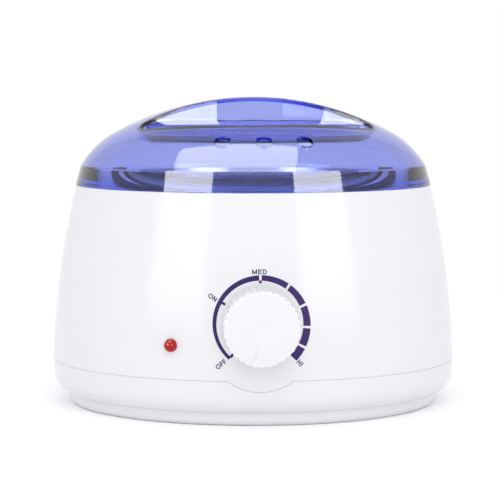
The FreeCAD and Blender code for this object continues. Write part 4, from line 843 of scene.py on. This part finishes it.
class WAXHEATER_OT_knob(bpy.types.Operator):
    """Turn the ribbed knob with its dished face and raised pointer"""

    bl_idname = "waxheater.knob"
    bl_label = "Knob"

    def execute(self, context):
        surface = knob_surface(context.scene.wax_dial, context.scene.wax_knob)
        mesh = mesh_from("ribbed_knob", surface, sharp=50)
        materials = ensure_materials(context)
        add_piece("ribbed_knob", mesh, materials["white_knob"], "dial", "white_knob", "knob")
        return {"FINISHED"}


# ---------------------------------------------------------------- lamp lens

DOME_ROWS = 30  # rows of points from the dome's top to the flange


def lens_surface(lens):
    """The lens turned about its axis: a ball's front, r = b cos t, a flange and a hollow stem."""
    brim = lens.seat + lens.flange
    middle = brim + lens.ball_middle
    start = math.asin(-lens.ball_middle / lens.ball_radius)
    rise = np.linspace(math.pi / 2, start, DOME_ROWS)
    radius = np.concatenate((
        lens.ball_radius * np.cos(rise),
        (lens.flange_radius, lens.flange_radius, lens.stem_radius, lens.stem_radius),
        (lens.bore_radius, lens.bore_radius, 0),
    ))[:, None]
    stem_end = lens.seat - lens.stem_length
    out = np.concatenate((
        middle + lens.ball_radius * np.sin(rise),
        (brim, lens.seat, lens.seat, stem_end, stem_end, lens.seat, brim),
    ))[:, None]
    turn = full_turn(ROUND_COLUMNS)
    across, heights = radius * np.cos(turn), lens.height + radius * np.sin(turn)
    ahead = np.broadcast_to(-out, across.shape)
    cosine, sine = math.cos(lens.turn), math.sin(lens.turn)
    points = np.stack((across * cosine - ahead * sine, across * sine + ahead * cosine, heights), -1)
    return [(points, grid_faces(*across.shape, True))]


class WAXHEATER_OT_lens(bpy.types.Operator):
    """Turn the lamp's red lens"""

    bl_idname = "waxheater.lens"
    bl_label = "Lamp Lens"

    def execute(self, context):
        mesh = mesh_from("domed_lens", lens_surface(context.scene.wax_lens), sharp=35)
        materials = ensure_materials(context)
        add_piece("domed_lens", mesh, materials["red_lens"], "root", "red_lens", "lamp_lens")
        return {"FINISHED"}


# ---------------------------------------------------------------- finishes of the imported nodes


class WAXHEATER_OT_finishes(bpy.types.Operator):
    """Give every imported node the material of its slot"""

    bl_idname = "waxheater.finishes"
    bl_label = "Finishes"

    def execute(self, context):
        materials = ensure_materials(context)
        slots = {part["node"]: part["material_slot"] for part in frame["record"]["subparts"]}
        for name, piece in frame["nodes"].items():
            for holder in piece.material_slots:
                holder.material = materials[slots[name]]
        return {"FINISHED"}


# ---------------------------------------------------------------- studio

FLOOR_RINGS = (0.0, 0.25, 1.0)  # rings of points, as shares of the floor's radius


def add_lamp(name, place, target, width, height, power, shine):
    """A rectangular area lamp aimed at a target, which shows in gloss only or lights only the rest."""
    lamp = bpy.data.lights.new(name, "AREA")
    lamp.shape = "RECTANGLE"
    lamp.size, lamp.size_y = width, height
    lamp.energy = power
    holder = bpy.data.objects.new(name, lamp)
    holder.location = place
    holder.rotation_euler = (Vector(target) - Vector(place)).to_track_quat("-Z", "Y").to_euler()
    holder.visible_camera = False
    holder.visible_glossy = shine
    holder.visible_diffuse = not shine
    bpy.context.scene.collection.objects.link(holder)


def add_softbox(name, place, target, width, height, glow):
    """A lamp for the gloss that looks as bright as glow, where 1 is white: power = glow pi area."""
    add_lamp(name, place, target, width, height, glow * math.pi * width * height, shine=True)


def add_side_boxes(stage):
    """A tall softbox on each side of the camera, with a dimmer foot."""
    parts = (
        ("foot", stage.box_low, stage.box_foot, stage.foot_glow),
        ("main", stage.box_foot, stage.box_high, stage.box_glow),
    )
    for name, side in (("left", -1), ("right", 1)):
        turn = side * stage.box_angle - stage.camera_turn
        across, ahead = stage.box_distance * math.sin(turn), -stage.box_distance * math.cos(turn)
        for part, low, high, glow in parts:
            middle = (low + high) / 2
            place, target = (across, ahead, middle), (0, 0, middle)
            add_softbox(f"softbox_{name}_{part}", place, target, stage.box_width, high - low, glow)


def add_top_box(stage):
    """The overhead softbox, tilted towards the front."""
    tilt, turn = stage.top_tilt, stage.top_turn
    lean = math.sin(tilt)
    down = (math.sin(turn) * lean, math.cos(turn) * lean, -math.cos(tilt))
    below = Vector(stage.top_place) + Vector(down)
    add_softbox(
        "softbox_top", stage.top_place, below, stage.top_width, stage.top_depth, stage.top_glow
    )


def seen_directly(tree):
    """1 for what is seen directly, in a reflection or through glass, and 0 for what only lights."""
    path = node(tree, "ShaderNodeLightPath").outputs
    seen = maths(tree, "MAXIMUM", path["Is Camera Ray"], path["Is Glossy Ray"])
    return maths(tree, "MAXIMUM", seen, path["Is Transmission Ray"])


def build_world(context, stage):
    """Even grey light from all round, which is seen as white."""
    world = bpy.data.worlds.new("studio")
    context.scene.world = world
    tree = emptied(world)
    plain = node(
        tree, "ShaderNodeBackground", color=opaque(stage.world_tint), strength=stage.world_light
    )
    white = node(tree, "ShaderNodeBackground", color=opaque((1, 1, 1)))
    mixed = node(
        tree, "ShaderNodeMixShader", seen_directly(tree), plain.outputs[0], white.outputs[0]
    )
    node(tree, "ShaderNodeOutputWorld", mixed.outputs[0])


def floor_material(stage):
    """White table: matt white, plus a little light of its own that thins its shadows."""
    material = bpy.data.materials.new("table_white")
    tree = emptied(material)
    matt = node(tree, "ShaderNodeBsdfDiffuse", color=opaque(stage.floor_white))
    lift = maths(tree, "MULTIPLY", seen_directly(tree), stage.floor_glow)
    glow = node(tree, "ShaderNodeEmission", color=opaque((1, 1, 1)), strength=lift)
    both = node(tree, "ShaderNodeAddShader", matt.outputs[0], glow.outputs[0])
    node(tree, "ShaderNodeOutputMaterial", both.outputs[0])
    return material


def add_floor(stage):
    """A round white table top under the heater, facing up."""
    turn = full_turn(ROUND_COLUMNS)
    radius = np.array(FLOOR_RINGS)[:, None] * stage.floor_radius
    across, ahead = radius * np.cos(turn), radius * np.sin(turn)
    points = np.stack((across, ahead, np.zeros(across.shape)), -1)
    mesh = mesh_from("table_top", [(points, grid_faces(*across.shape, True))])
    for face in mesh.polygons:
        if face.normal.z < 0:
            face.flip()
    mesh.materials.append(floor_material(stage))
    table = bpy.data.objects.new("table_top", mesh)
    bpy.context.scene.collection.objects.link(table)


def add_camera(context, stage):
    """The camera, a little to the left of the dial and above it, looking slightly down."""
    data = bpy.data.cameras.new("camera")
    data.sensor_width = 36.0
    data.lens = stage.camera_lens
    data.shift_x = -stage.camera_shift
    data.clip_start = 0.01
    camera = bpy.data.objects.new("camera", data)
    turn = stage.camera_turn
    camera.location = (
        -stage.camera_distance * math.sin(turn),
        -stage.camera_distance * math.cos(turn),
        stage.camera_height,
    )
    camera.rotation_euler = (math.pi / 2 - stage.camera_pitch, 0, -turn)
    context.scene.collection.objects.link(camera)
    context.scene.camera = camera


class WAXHEATER_OT_stage(bpy.types.Operator):
    """Set up the white table, the softboxes, the world and the camera"""

    bl_idname = "waxheater.stage"
    bl_label = "Stage"

    def execute(self, context):
        stage = context.scene.wax_stage
        context.scene.view_settings.view_transform = "Standard"
        build_world(context, stage)
        add_floor(stage)
        add_side_boxes(stage)
        add_top_box(stage)
        side, power = stage.key_size, stage.key_power
        add_lamp("key", stage.key_place, stage.key_target, side, side, power, shine=False)
        add_camera(context, stage)
        return {"FINISHED"}


# ---------------------------------------------------------------- panel and registration

OPERATORS = (
    WAXHEATER_OT_finishes,
    WAXHEATER_OT_dial_print,
    WAXHEATER_OT_knob,
    WAXHEATER_OT_lens,
    WAXHEATER_OT_stage,
)


class WAXHEATER_PT_sidebar(bpy.types.Panel):
    """The heater's pieces, in the order they are built"""

    bl_idname = "WAXHEATER_PT_sidebar"
    bl_label = "Wax Heater"
    bl_space_type = "VIEW_3D"
    bl_region_type = "UI"
    bl_category = "Wax Heater"

    def draw(self, context):
        for operator in OPERATORS:
            self.layout.operator(operator.bl_idname)


def register():
    """Register the size groups, the operators and the panel."""
    for name, group in SIZE_GROUPS.items():
        bpy.utils.register_class(group)
        setattr(bpy.types.Scene, name, PointerProperty(type=group))
    for made in (*OPERATORS, WAXHEATER_PT_sidebar):
        bpy.utils.register_class(made)


def unregister():
    """Take everything out again, last first."""
    for made in (WAXHEATER_PT_sidebar, *reversed(OPERATORS)):
        bpy.utils.unregister_class(made)
    for name, group in SIZE_GROUPS.items():
        delattr(bpy.types.Scene, name)
        bpy.utils.unregister_class(group)


def main():
    """Build every piece and the stage."""
    register()
    for operator in OPERATORS:
        family, name = operator.bl_idname.split(".")
        getattr(getattr(bpy.ops, family), name)()


if __name__ == "__main__":
    main()
